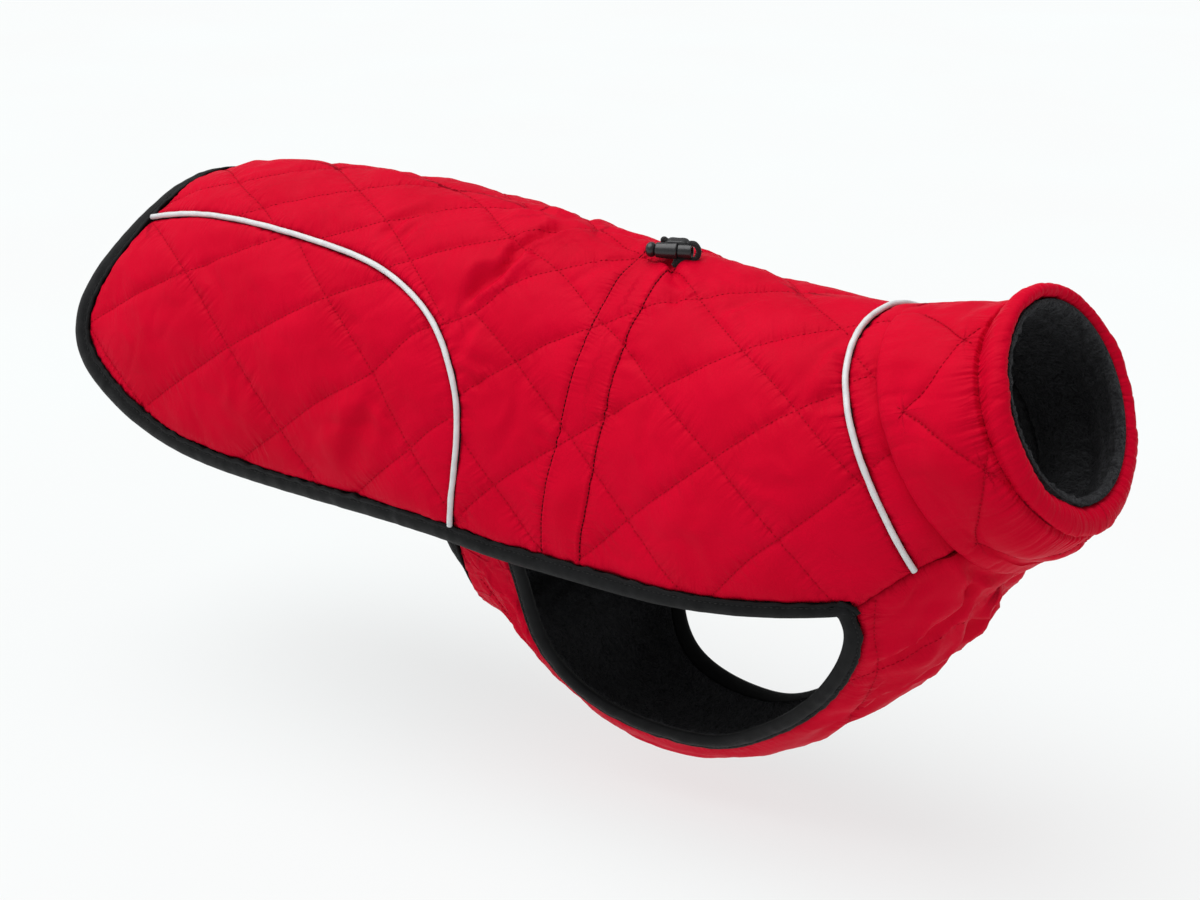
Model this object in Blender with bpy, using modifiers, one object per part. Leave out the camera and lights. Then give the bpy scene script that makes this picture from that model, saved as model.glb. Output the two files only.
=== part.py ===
"""Dog winter coat, filled out as it is worn: a quilted back panel with rear side panels and a neck
yoke, a chest and belly panel that rises inside the back panel as a strap on each side, a padded
collar with a rolled rim, black fleece lining, black bound edges, grey piping and a cord toggle.

Units are metres, +Z up. The wearer faces +X, and its right side is -Y. The origin is on the inner
face of the lining, on the spine, where the wearer's back carries the coat.

The whole coat lies on one tube round the body. A place on it is given as
  x    the spine station: how far forward the tube's ring crosses the spine, and
  v    the girth: the distance round that ring from the spine, plus on the left (+Y),
and an offset `out` along the surface's outward normal.
"""
from collections import namedtuple
from math import pi

import bmesh
import bpy
import numpy as np
from mathutils import Matrix
from mathutils.geometry import delaunay_2d_cdt

# ---------------------------------------------------------------- driving sizes
PANEL = 0.0030              # quilted cloth
LINING = 0.0014             # fleece
LAYER_GAP = 0.0007          # between the cloth and its lining
SEAM_GAP = 0.0003           # between neighbouring pieces
SHOULDER_GAP = 0.0005       # between the panels that meet at an angle on the shoulder
BINDING_GAP = 0.0005        # between a panel's cut edge and the tape beside it
BINDING_WIDTH = 0.0100      # bound edge, each face
BINDING_PROUD = 0.0008      # how far the tape stands above the cloth on each face
BAND_BINDING_WIDTH = 0.0080
PIPING_RADIUS = 0.00175
STRAP_DEPTH = 0.0074        # how far inside the back panel the belly straps run
LINING_TOP = -(PANEL + LAYER_GAP)
WALL = PANEL + LAYER_GAP + LINING

BACK_CELL = 0.026           # triangle sizes
CHEST_CELL = 0.024
CURVE_STEP = 0.0160

Ring = namedtuple("Ring", "name x_top z_top x_bottom z_bottom half_width widest bottom_power taper")
RINGS = [
    Ring("tail",   -.310, -.014, -.316, -.200, .0920, .60, 2.0, .00),
    Ring("hip",    -.240,  .004, -.232, -.205, .0950, .60, 2.0, .00),
    Ring("back",   -.150,  .010, -.132, -.208, .0940, .58, 2.2, .10),
    Ring("waist",  -.060,  .007, -.020, -.2195, .0920, .57, 2.35, .18),
    Ring("chest",   .020, -.001,  .022, -.264, .0855, .55, 2.45, .375),
    Ring("arm",     .087, -.007,  .112, -.2715, .0850, .55, 2.35, .43),
    Ring("yoke",    .145, -.013,  .223, -.1950, .0800, .52, 2.4, .15),
    Ring("seam",    .206, -.010,  .270, -.122, .0600, .48, 2.0, .00),
    Ring("bulge",   .236, -.002,  .286, -.1145, .0658, .50, 2.0, .00),
    Ring("casing",  .254, -.002,  .304, -.0986, .0578, .50, 2.0, .00),
]
SEAM_STATION = 7            # ring numbers
CASING_STATION = 9
RIM_RINGS = [               # the rolled rim, from its seam over the crown to the mouth's fleece
    Ring("seam",  .2546, -.0010,  .3046, -.0982, .0580, .50, 2.0, .00),
    Ring("crown", .2620,  .0080,  .3067, -.0998, .0590, .50, 2.0, .00),
    Ring("front", .2680,  .0080,  .3077, -.0935, .0546, .50, 2.0, .00),
    Ring("mouth", .2670,  .0030,  .3035, -.0870, .0488, .50, 2.0, .00),
]

Point = namedtuple("Point", "x v")
HEM = [                     # outer edge of the back panel, from the spine at the tail to the corner
    Point(-.290, .000), Point(-.293, .040), Point(-.304, .073), Point(-.3140, .103),
    Point(-.309, .135), Point(-.287, .164), Point(-.255, .191), Point(-.215, .209),
    Point(-.156, .2165), Point(-.090, .2170), Point(-.040, .2110), Point(.018, .1995),
    Point(.072, .1930), Point(.120, .1915), Point(.1520, .1890),
]
TAIL_PIPING = [             # between the back centre panel and a rear side panel
    Point(-.300, .0555), Point(-.255, .0570), Point(-.200, .0610), Point(-.136, .0670),
    Point(-.096, .0730), Point(-.068, .0830), Point(-.048, .0960), Point(-.034, .1140),
    Point(-.027, .1340), Point(-.029, .1600), Point(-.037, .1850), Point(-.046, .2050),
]
NECK_PIPING = [             # between the back centre panel and the yoke
    Point(.188, .000), Point(.1865, .018), Point(.184, .050), Point(.184, .085),
    Point(.184, .122), Point(.1812, .1585),
]
SHOULDER_SEAM = [           # back and yoke above, chest panel below, from the corner to the collar
    Point(.154, .1850), Point(.167, .1735), Point(.181, .1620), Point(.193, .1560),
    Point(.2055, .1510),
]
LEG_FOLD = [                # free edge of the chest panel round a leg opening, from the strap's end
    Point(.011, .1300), Point(.017, .1650), Point(.023, .1960), Point(.0245, .2120),
    Point(.0265, .2270), Point(.0285, .2430), Point(.0315, .2580), Point(.037, .2720),
    Point(.047, .2830), Point(.062, .2890), Point(.078, .2920), Point(.091, .2910),
    Point(.102, .2810), Point(.113, .2670), Point(.124, .2500), Point(.133, .2330),
    Point(.140, .2180), Point(.146, .2020), Point(.148, .1905),
]
BAND_REAR = [               # rear edge of the belly panel and its strap, from the keel up
    Point(-.091, .3220), Point(-.084, .2900), Point(-.070, .2610), Point(-.059, .2320),
    Point(-.051, .2000), Point(-.046, .1650), Point(-.040, .1300),
]
LEG_LIMITS = (.050, .110)   # the strap's depth fades out between these stations
STRAP_LIMITS = (.215, .265)  # and between these girths

# The cord toggle lies along the spine over the waist channel, a little to the right of it.
TOGGLE_X = 0.0660
TOGGLE_V = -0.0100
ANCHOR = (0.022, 0.014, 0.0010)     # length, width and thickness of the cord's anchor tape
BARREL = (-0.0130, 0.0010, 0.0043)  # start, end and radius of each turned piece along the toggle
SLEEVE = (0.0013, 0.0100, 0.0033)
BUTTON = (-0.0190, -0.0133, 0.0036)
PLATE = (0.0115, 0.0060, 0.0012)    # length, width and thickness of the thumb rest
PLATE_X = -0.0030
CORD_RADIUS = 0.0014
LOOP_RADIUS = 0.0029
FACET_SAG = 0.0007          # how far the panel's flat triangles lie below its curve there


# ---------------------------------------------------------------- curves and the tube
def natural_spline(values):
    """Second derivatives of the natural cubic spline through evenly numbered rows."""
    count = len(values)
    matrix = np.eye(count)
    right = np.zeros_like(values)
    for i in range(1, count - 1):
        matrix[i, i - 1:i + 2] = (1, 4, 1)
        right[i] = 6 * (values[i + 1] - 2 * values[i] + values[i - 1])
    return np.linalg.solve(matrix, right)


def spline_at(values, bends, s):
    s = np.asarray(s, float)
    i = np.clip(np.floor(s).astype(int), 0, len(values) - 2)
    f = (s - i)[..., None]
    g = 1 - f
    straight = values[i] * g + values[i + 1] * f
    return straight + ((g ** 3 - g) * bends[i] + (f ** 3 - f) * bends[i + 1]) / 6


class Tube:
    """A smooth tube through a table of rings."""

    def __init__(self, rings):
        self.values = np.array([ring[1:] for ring in rings])
        self.bends = natural_spline(self.values)

    def row(self, s):
        return np.moveaxis(spline_at(self.values, self.bends, s), -1, 0)


BODY = Tube(RINGS)
RIM = Tube(RIM_RINGS)
TAPER_EASE = 0.15           # softens the start of the taper below the widest place


def height_at_origin():
    """Lifts the coat so that the lining's inner face lies at z = 0 over the origin."""
    fine = BODY.row(np.linspace(0, len(RINGS) - 1, 901))
    return WALL - float(np.interp(0.0, fine[0], fine[1]))


SHIFT_UP = height_at_origin()


def ring_point(tube, s, angle):
    """Point of a tube's ring number s at an angle from the spine, plus on the left."""
    s, angle = np.broadcast_arrays(np.asarray(s, float), np.asarray(angle, float))
    row = tube.row(s)
    x_top, z_top, x_bottom, z_bottom, half_width, widest, power, taper = row
    cosine = np.cos(angle)
    upper = cosine > 0
    down = np.where(upper, widest * (1 - cosine), widest - (1 - widest) * cosine)
    depth = np.clip(-cosine, 0, 1)
    pinch = 1 - taper * (np.sqrt(depth ** 2 + TAPER_EASE ** 2) - TAPER_EASE)
    lower = pinch * np.clip(1 - depth ** power, 0, 1) ** (1 / power)
    side = np.where(upper, np.abs(np.sin(angle)), lower) * np.sign(angle)
    x = x_top + (x_bottom - x_top) * down
    z = z_top + (z_bottom - z_top) * down
    return np.stack([x, half_width * side, z + SHIFT_UP], -1)


STATIONS = np.linspace(-0.5, len(RINGS) - 1, 381)      # a little past the tail ring too
FRACTIONS = np.linspace(0, 1, 241)
KEEL_EASE = 0.04            # the angles crowd together near the keel, where the girth runs fast


def girth_tables():
    """Half girth of each station, and the angle at each fraction of it."""
    even = np.linspace(0, pi * (1 - KEEL_EASE), 360)
    crowded = pi - pi * KEEL_EASE * (1 - np.linspace(0, 1, 90)[1:]) ** 2
    angles = np.concatenate([even, crowded])
    points = ring_point(BODY, STATIONS[:, None], angles[None, :])
    steps = np.linalg.norm(np.diff(points, axis=1), axis=2)
    lengths = np.concatenate([np.zeros((len(STATIONS), 1)), np.cumsum(steps, axis=1)], axis=1)
    half = lengths[:, -1]
    table = [np.interp(FRACTIONS * total, row, angles) for total, row in zip(half, lengths)]
    return half, np.array(table)


HALF_GIRTHS, ANGLE_TABLE = girth_tables()
SPINE_X = BODY.row(STATIONS)[0]


def station(x):
    return np.interp(x, SPINE_X, STATIONS)


def half_girth(x):
    return np.interp(station(x), STATIONS, HALF_GIRTHS)


def tube_point(s, v):
    s, v = np.broadcast_arrays(np.asarray(s, float), np.asarray(v, float))
    total = np.interp(s, STATIONS, HALF_GIRTHS)
    step = STATIONS[1] - STATIONS[0]
    row = np.clip((s - STATIONS[0]) / step, 0, len(STATIONS) - 1.000001)
    column = np.clip(np.abs(v) / total, 0, 1) * (len(FRACTIONS) - 1) * 0.999999
    i, j = row.astype(int), column.astype(int)
    f, g = row - i, column - j
    low = ANGLE_TABLE[i, j] * (1 - g) + ANGLE_TABLE[i, j + 1] * g
    high = ANGLE_TABLE[i + 1, j] * (1 - g) + ANGLE_TABLE[i + 1, j + 1] * g
    return ring_point(BODY, s, np.sign(v) * (low * (1 - f) + high * f))


def outward(function, a, b, step=0.0004):
    """Outward unit normal of a surface function of two variables, and its two slopes."""
    slope_a = (function(a + step, b) - function(a - step, b)) / (2 * step)
    slope_b = (function(a, b + step) - function(a, b - step)) / (2 * step)
    normal = np.cross(slope_a, slope_b)
    return normal / np.linalg.norm(normal, axis=-1, keepdims=True), slope_a, slope_b


def skin(x, v):
    return tube_point(station(x), v)


def back_surface(x, v, out=0.0):
    """Points of the back panel's surface, moved out."""
    normal, _, _ = outward(skin, x, v)
    return skin(x, v) + np.asarray(out)[..., None] * normal


def ramp(value, start, end):
    t = np.clip((value - start) / (end - start), 0, 1)
    return t * t * (3 - 2 * t)


def strap_depth(x, v):
    fade_x = ramp(x, LEG_LIMITS[1], LEG_LIMITS[0])
    fade_v = ramp(np.abs(v), STRAP_LIMITS[1], STRAP_LIMITS[0])
    return STRAP_DEPTH * fade_x * fade_v


def keel_skin(x, w):
    """The tube by spine station and the distance w from the keel, plus on the left."""
    side = np.where(w >= 0, 1.0, -1.0)
    return skin(x, side * (half_girth(x) - np.abs(w)))


def chest_surface(x, w, out=0.0):
    """Points of the chest panel's surface, which dives inside the back panel at the straps."""
    normal, _, _ = outward(keel_skin, x, w)
    depth = strap_depth(x, half_girth(x) - np.abs(w))
    return keel_skin(x, w) - (np.asarray(out) - depth)[..., None] * normal


# ---------------------------------------------------------------- seam lines on the flat pattern
def seam_line(points, step=CURVE_STEP):
    """Smooth line through a table of points, sampled in even steps of real length."""
    values = np.array(points)
    bends = natural_spline(values)
    fine = spline_at(values, bends, np.linspace(0, len(values) - 1, 40 * len(values)))
    length = np.linalg.norm(np.diff(skin(fine[:, 0], fine[:, 1]), axis=0), axis=1)
    along = np.concatenate([[0], np.cumsum(length)])
    count = max(2, int(round(along[-1] / step)) + 1)
    even = np.linspace(0, along[-1], count)
    return np.stack([np.interp(even, along, fine[:, k]) for k in (0, 1)], -1)


def moved(line, distance):
    """The line moved sideways over the cloth by a real distance, plus to its left."""
    x, v = line[:, 0], line[:, 1]
    normal, slope_x, slope_v = outward(skin, x, v)
    tangent = np.gradient(skin(x, v), axis=0)
    side = np.cross(normal, tangent)
    side /= np.linalg.norm(side, axis=1, keepdims=True)
    result = []
    for k, start in enumerate(line):
        slopes = np.stack([slope_x[k], slope_v[k]], -1)
        shift, *_ = np.linalg.lstsq(slopes, side[k], rcond=None)
        result.append(start + distance * shift)
    return np.array(result)


def extended(line, length=0.015):
    """The line with a straight piece added at both ends."""
    first = line[0] - (line[1] - line[0]) / np.linalg.norm(line[1] - line[0]) * length
    last = line[-1] + (line[-1] - line[-2]) / np.linalg.norm(line[-1] - line[-2]) * length
    return np.vstack([first, line, last])


def crossing(one, two):
    """Where line one first crosses line two: the point and both segment numbers."""
    for i in range(len(one) - 1):
        for j in range(len(two) - 1):
            a, b = one[i + 1] - one[i], two[j + 1] - two[j]
            area = a[0] * b[1] - a[1] * b[0]
            if abs(area) < 1e-14:
                continue
            gap = two[j] - one[i]
            t = (gap[0] * b[1] - gap[1] * b[0]) / area
            u = (gap[0] * a[1] - gap[1] * a[0]) / area
            if 0 <= t <= 1 and 0 <= u <= 1:
                return one[i] + t * a, i, j
    raise ValueError("two seam lines that should meet do not cross")


def joined(*lines):
    """One path along several lines, each cut where it crosses the next."""
    path = lines[0]
    for line in lines[1:]:
        point, i, j = crossing(path, line)
        path = np.vstack([path[:i + 1], point, line[j + 1:]])
    keep = [0]
    for k in range(1, len(path)):
        if np.linalg.norm(path[k] - path[keep[-1]]) > CURVE_STEP * 0.1:
            keep.append(k)
    return path[keep]


def cut_from_spine(line):
    """The line continued to the spine at its start, so that its mirror image meets it there."""
    return np.vstack([(line[0][0], 0.0), line[1:]])


def both_sides(line):
    """The line and its mirror image, joined where it starts on the axis of symmetry."""
    return np.vstack([line[::-1] * (1, -1), line[1:]])


def mirrored_outline(path):
    """Closed outline from a path that starts and ends on the axis of symmetry."""
    other = path[::-1][1:-1] * (1, -1)
    return np.vstack([path, other])


# ---------------------------------------------------------------- meshes
collection = None


def material(name, colour, roughness, sheen=0.0):
    made = bpy.data.materials.new(name)
    made.use_nodes = True
    shader = made.node_tree.nodes["Principled BSDF"]
    shader.inputs["Base Color"].default_value = (*colour, 1.0)
    shader.inputs["Roughness"].default_value = roughness
    shader.inputs["Metallic"].default_value = 0.0
    shader.inputs["Sheen Weight"].default_value = sheen
    return made


def node_from(name, vertices, faces, finish):
    mesh = bpy.data.meshes.new(name)
    mesh.from_pydata([tuple(map(float, vertex)) for vertex in vertices], [], faces)
    mesh.update()
    made = bpy.data.objects.new(name, mesh)
    collection.objects.link(made)
    mesh.materials.append(finish)
    mesh.shade_smooth()
    return made


def thicken(made, thickness):
    solid = made.modifiers.new("wall", "SOLIDIFY")
    solid.thickness = thickness
    solid.offset = -1.0
    return made


SEAM_CLEARANCE = 0.55       # of a cell, between the even triangles' corners and the seams


def inside(points, outline):
    """Which points lie inside a closed outline."""
    x, y = points[:, 0], points[:, 1]
    result = np.zeros(len(points), bool)
    for a, b in zip(outline, np.roll(outline, -1, axis=0)):
        spans = (a[1] > y) != (b[1] > y)
        with np.errstate(divide="ignore", invalid="ignore"):
            cross = (b[0] - a[0]) * (y - a[1]) / (b[1] - a[1]) + a[0]
        result ^= spans & (x < cross)
    return result


def cut_cloth(outline, cell, seams, creases=()):
    """Flat pattern piece as points and triangles: its outline, filled with even triangles that
    keep clear of the seams and break along the creases."""
    height = cell * 0.8660
    low, high = outline.min(axis=0), outline.max(axis=0)
    columns = np.arange(np.floor(low[0] / cell) - 1, np.ceil(high[0] / cell) + 2)
    rows = np.arange(np.floor(low[1] / height) - 1, np.ceil(high[1] / height) + 2)
    grid_x, grid_y = np.meshgrid(columns, rows)
    lattice = np.stack([(grid_x + 0.5 * (grid_y % 2)) * cell, grid_y * height], -1).reshape(-1, 2)
    lattice = lattice[inside(lattice, outline)]
    for line in seams:
        start, span = line[:-1], np.diff(line, axis=0)
        reach = ((lattice[:, None] - start) * span).sum(2) / (span ** 2).sum(1)
        nearest = start + np.clip(reach, 0, 1)[..., None] * span
        distance = np.linalg.norm(lattice[:, None] - nearest, axis=2).min(axis=1)
        lattice = lattice[distance > cell * SEAM_CLEARANCE]
    points = [tuple(p) for p in outline]
    edges = []
    for line in creases:
        edges += [(len(points) + k, len(points) + k + 1) for k in range(len(line) - 1)]
        points += [tuple(p) for p in line]
    points += [tuple(p) for p in lattice]
    result = delaunay_2d_cdt(points, edges, [list(range(len(outline)))], 1, 1e-7)
    flat = np.array([tuple(p) for p in result[0]])
    triangles = []
    for face in result[2]:
        a, b, c = (flat[k] for k in face)
        turn = (b[0] - a[0]) * (c[1] - a[1]) - (b[1] - a[1]) * (c[0] - a[0])
        triangles.append(tuple(face) if turn > 0 else tuple(reversed(face)))
    return flat, triangles


def cloth(name, outline, cell, surface, out, thickness, finish, seams, creases=()):
    """A pattern piece laid on the body's form: a wall between two offsets of that form."""
    flat, triangles = cut_cloth(outline, cell, seams, creases)
    if surface is chest_surface:
        triangles = [tuple(reversed(face)) for face in triangles]
    count = len(flat)
    skins = [surface(flat[:, 0], flat[:, 1], np.full(count, face))
             for face in (out, out - thickness)]
    faces = list(triangles)
    faces += [tuple(corner + count for corner in reversed(face)) for face in triangles]
    edges = {(face[k - 1], face[k]) for face in triangles for k in range(3)}
    faces += [(b, a, a + count, b + count) for a, b in sorted(edges) if (b, a) not in edges]
    return node_from(name, np.vstack(skins), faces, finish)


TapePoint = namedtuple("TapePoint", "across depth")
TAPE_SECTION = [            # from the seam over the fold and back: shares of width and thickness
    TapePoint(0.00, 0.00), TapePoint(0.86, 0.00), TapePoint(1.00, 0.20),
    TapePoint(1.00, 0.80), TapePoint(0.86, 1.00), TapePoint(0.00, 1.00),
]


def tape(name, seam, fold, surface, finish):
    """A bound edge, lofted along the cloth from its seam to its fold, as thick as the layers it
    wraps. Seen from outside, the fold lies on the right of the way along."""
    rings = []
    for point in TAPE_SECTION:
        line = seam * (1 - point.across) + fold * point.across
        out = BINDING_PROUD - point.depth * (WALL + 2 * BINDING_PROUD)
        rings.append(surface(line[:, 0], line[:, 1], np.full(len(line), out)))
    rows, around = len(seam), len(TAPE_SECTION)
    vertices = np.stack(rings, axis=1).reshape(-1, 3)
    faces = [tuple(reversed(range(around))), tuple(range((rows - 1) * around, rows * around))]
    for i in range(rows - 1):
        for j in range(around):
            k = (j + 1) % around
            faces.append((i * around + j, i * around + k, (i + 1) * around + k,
                          (i + 1) * around + j))
    return node_from(name, vertices, faces, finish)


def bead(name, points, radius, finish):
    """A round piping or cord along a run of points."""
    data = bpy.data.curves.new(name, "CURVE")
    data.dimensions = "3D"
    data.bevel_depth = radius
    data.bevel_resolution = 2
    data.use_fill_caps = True
    run = data.splines.new("POLY")
    run.points.add(len(points) - 1)
    for target, point in zip(run.points, points):
        target.co = (*map(float, point), 1.0)
    made = bpy.data.objects.new(name, data)
    collection.objects.link(made)
    data.materials.append(finish)
    return made


def tube_cloth(name, rings, thickness, finish):
    """A wall round the neck, lofted through closed rings of points, outward side first."""
    rows, around = rings.shape[:2]
    faces = []
    for i in range(rows - 1):
        for j in range(around):
            k = (j + 1) % around
            faces.append((i * around + j, (i + 1) * around + j, (i + 1) * around + k,
                          i * around + k))
    return thicken(node_from(name, rings.reshape(-1, 3), faces, finish), thickness)


# ---------------------------------------------------------------- the coat's lines
def coat_lines():
    lines = {}
    hem = seam_line(HEM)
    lines["hem"] = hem
    lines["hem_cut"] = extended(cut_from_spine(moved(hem, -(BINDING_WIDTH + BINDING_GAP))))
    lines["piping_stop"] = extended(moved(hem, -(BINDING_WIDTH + 3 * BINDING_GAP)))
    pipe_gap = PIPING_RADIUS + SEAM_GAP
    tail = seam_line(TAIL_PIPING)
    lines["tail_piping"] = tail
    lines["tail_inner"] = extended(moved(tail, -pipe_gap))
    lines["tail_outer"] = extended(moved(tail, pipe_gap))
    neck = seam_line(NECK_PIPING)
    lines["neck_piping"] = neck
    lines["neck_rear"] = cut_from_spine(moved(neck, pipe_gap))
    lines["neck_front"] = cut_from_spine(moved(neck, -pipe_gap))
    shoulder = seam_line(SHOULDER_SEAM)
    lines["shoulder_upper"] = extended(moved(shoulder, -SHOULDER_GAP / 2))
    lines["shoulder_lower"] = extended(moved(shoulder, SHOULDER_GAP / 2))
    return lines


def back_pieces(lines, red, fleece):
    neck_rear = extended(lines["neck_rear"])[1:][::-1]
    hem_cut = lines["hem_cut"][1:]
    collar_x = RINGS[SEAM_STATION].x_top - SEAM_GAP
    neck_edge = np.array([(collar_x, v) for v in np.arange(0.17, -0.001, -CURVE_STEP / 2)])
    neck_edge[-1, 1] = 0.0
    seams = [both_sides(lines[key]) for key in ("neck_piping",)]
    for line in (hem_cut, lines["tail_piping"], lines["shoulder_upper"], neck_edge):
        seams += [line, line * (1, -1)]
    centre = joined(hem_cut, lines["tail_inner"], hem_cut[len(hem_cut) // 2:],
                    lines["shoulder_upper"], neck_rear)
    cloth("back_centre_panel", mirrored_outline(centre)[::-1], BACK_CELL, back_surface, 0.0,
          PANEL, red, seams)
    tail_run = lines["tail_outer"]
    start, i, j = crossing(hem_cut, tail_run)
    end, m, n = crossing(hem_cut[i + 3:], tail_run[::-1])
    side_outline = np.vstack([start, hem_cut[i + 1:i + 4 + m], end,
                              tail_run[::-1][n + 1:len(tail_run) - 1 - j]])
    for side, name in ((1, "rear_side_panel_left"), (-1, "rear_side_panel_right")):
        cloth(name, side_outline * (1, side), BACK_CELL, back_surface, 0.0, PANEL, red, seams)
    neck_front = extended(lines["neck_front"])[1:]
    yoke = joined(neck_front, lines["shoulder_upper"], neck_edge)
    cloth("neck_yoke", mirrored_outline(yoke), BACK_CELL, back_surface, 0.0, PANEL, red, seams)
    whole = joined(hem_cut, lines["shoulder_upper"], neck_edge)
    tail_fold = lines["tail_piping"][1:-1]
    folds = [tail_fold, tail_fold * (1, -1), both_sides(lines["neck_piping"])]
    cloth("back_lining", mirrored_outline(whole), BACK_CELL, back_surface, LINING_TOP, LINING,
          fleece, seams, folds)


def to_keel(line):
    """A line from girth to distance from the keel."""
    return np.stack([line[:, 0], half_girth(line[:, 0]) - line[:, 1]], -1)


def chest_pieces(lines, red, fleece, binding):
    rear = seam_line(BAND_REAR)
    leg_fold = seam_line(LEG_FOLD)
    leg = moved(leg_fold, BINDING_WIDTH)
    strap_end = np.linspace(rear[-1], leg[0], 5)
    collar_x = RINGS[SEAM_STATION].x_top - SEAM_GAP
    collar_edge = np.array([(collar_x, v) for v in np.arange(0.135, 0.1955, CURVE_STEP * 0.8)])
    rear_cut = to_keel(moved(rear, BAND_BINDING_WIDTH + BINDING_GAP))
    rear_cut[0, 1] = 0.0
    leg_cut = extended(moved(leg, BINDING_GAP))[1:]
    front = to_keel(joined(leg_cut, lines["shoulder_lower"], collar_edge))
    path = np.vstack([rear_cut[:-1], to_keel(strap_end)[1:-1], front, (collar_x, 0.0)])
    outline = mirrored_outline(path)
    seams = [np.vstack([outline, outline[:1]])]
    cloth("chest_belly_panel", outline, CHEST_CELL, chest_surface, 0.0, PANEL, red, seams)
    cloth("chest_belly_lining", outline, CHEST_CELL, chest_surface, LINING_TOP, LINING, fleece,
          seams)
    seam, fold = to_keel(leg), to_keel(leg_fold)
    tape("leg_binding_left", seam, fold, chest_surface, binding)
    tape("leg_binding_right", seam[::-1] * (1, -1), fold[::-1] * (1, -1), chest_surface, binding)
    seam, fold = to_keel(moved(rear, BAND_BINDING_WIDTH)), to_keel(rear)
    seam[0, 1] = fold[0, 1] = 0.0
    tape("belly_band_binding", both_sides(seam), both_sides(fold), chest_surface, binding)


def trims(lines, binding, piping):
    fold = lines["hem"]
    seam = moved(fold, -BINDING_WIDTH)
    seam[0, 1] = 0.0
    tape("hem_binding", both_sides(seam)[::-1], both_sides(fold)[::-1], back_surface, binding)
    sink = -PIPING_RADIUS / 6
    tail = lines["tail_piping"]
    start, i, _ = crossing(extended(tail), lines["piping_stop"])
    end, j, _ = crossing(extended(tail)[::-1], lines["piping_stop"][::-1])
    run = np.vstack([start, extended(tail)[i + 1:len(tail) + 1 - j], end])
    for side, name in ((1, "tail_piping_left"), (-1, "tail_piping_right")):
        points = back_surface(run[:, 0], run[:, 1] * side, np.full(len(run), sink))
        bead(name, points, PIPING_RADIUS, piping)
    neck = both_sides(lines["neck_piping"])
    bead("neck_piping", back_surface(neck[:, 0], neck[:, 1], np.full(len(neck), sink)),
         PIPING_RADIUS, piping)


# ---------------------------------------------------------------- collar
AROUND = 28
COLLAR_RISE = 0.0010        # how far the padded collar stands over its seam
LINING_INSET = 0.0085       # how far inside the collar's seam its lining lies
MOUTH_STEP = (0.0009, 0.0007)       # from the rim's inner edge to the lining: back, and in


def tube_ring(tube, s, out):
    """Closed ring of a tube, spaced evenly by angle and moved out."""
    angle = (np.arange(AROUND) + 0.5) * 2 * pi / AROUND - pi
    normal, _, _ = outward(lambda a, b: ring_point(tube, a, b), np.full(AROUND, s), angle)
    return ring_point(tube, np.full(AROUND, s), angle) + out * normal


def collar_pieces(red, fleece):
    first = SEAM_STATION + 0.01
    last = CASING_STATION
    rings = []
    for share in np.linspace(0, 1, 6):
        rise = COLLAR_RISE * np.sin(pi * share ** 0.7) ** 0.8
        rings.append(tube_ring(BODY, first + (last - first) * share, rise))
    tube_cloth("collar", np.array(rings), PANEL, red)
    rings = [tube_ring(RIM, s, 0.0) for s in np.linspace(0, len(RIM_RINGS) - 1, 6)]
    tube_cloth("collar_rim", np.array(rings), PANEL, red)
    rings = [tube_ring(BODY, s, -LINING_INSET) for s in np.linspace(first, last - 0.15, 4)]
    mouth = tube_ring(RIM, len(RIM_RINGS) - 1, 0.0)
    back = rings[-1].mean(axis=0) - mouth.mean(axis=0)
    inward = mouth.mean(axis=0) - mouth
    inward /= np.linalg.norm(inward, axis=1, keepdims=True)
    step_back, step_in = MOUTH_STEP
    rings.append(mouth + back / np.linalg.norm(back) * step_back + inward * step_in)
    tube_cloth("collar_lining", np.array(rings), LINING, fleece)


# ---------------------------------------------------------------- toggle
def toggle_frame():
    """An empty on the cloth where the toggle lies: X along it, Z away from the coat."""
    x, v = np.array([TOGGLE_X]), np.array([TOGGLE_V])
    normal, along, _ = outward(skin, x, v)
    point = skin(x, v)[0]
    forward = along[0] / np.linalg.norm(along[0])
    across = np.cross(normal[0], forward)
    frame = bpy.data.objects.new("toggle_frame", None)
    columns = np.stack([forward, across, normal[0], point], -1)
    frame.matrix_world = Matrix([*columns.tolist(), (0, 0, 0, 1)])
    collection.objects.link(frame)
    return frame


def placed(name, shape, finish, frame, location, bevel, segments):
    """A hard piece on the toggle's frame, with rounded edges."""
    mesh = bpy.data.meshes.new(name)
    shape.to_mesh(mesh)
    shape.free()
    mesh.materials.append(finish)
    made = bpy.data.objects.new(name, mesh)
    made.parent = frame
    made.location = location
    collection.objects.link(made)
    rounding = made.modifiers.new("rounding", "BEVEL")
    rounding.width = bevel
    rounding.segments = segments
    rounding.limit_method = "ANGLE"
    return made


def turned(name, sizes, height, bevel, finish, frame):
    """A barrel along the toggle."""
    start, end, radius = sizes
    shape = bmesh.new()
    bmesh.ops.create_cone(shape, cap_ends=True, segments=20, radius1=radius, radius2=radius,
                          depth=end - start, matrix=Matrix.Rotation(pi / 2, 4, "Y"))
    return placed(name, shape, finish, frame, ((start + end) / 2, 0, height), bevel, 3)


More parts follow.
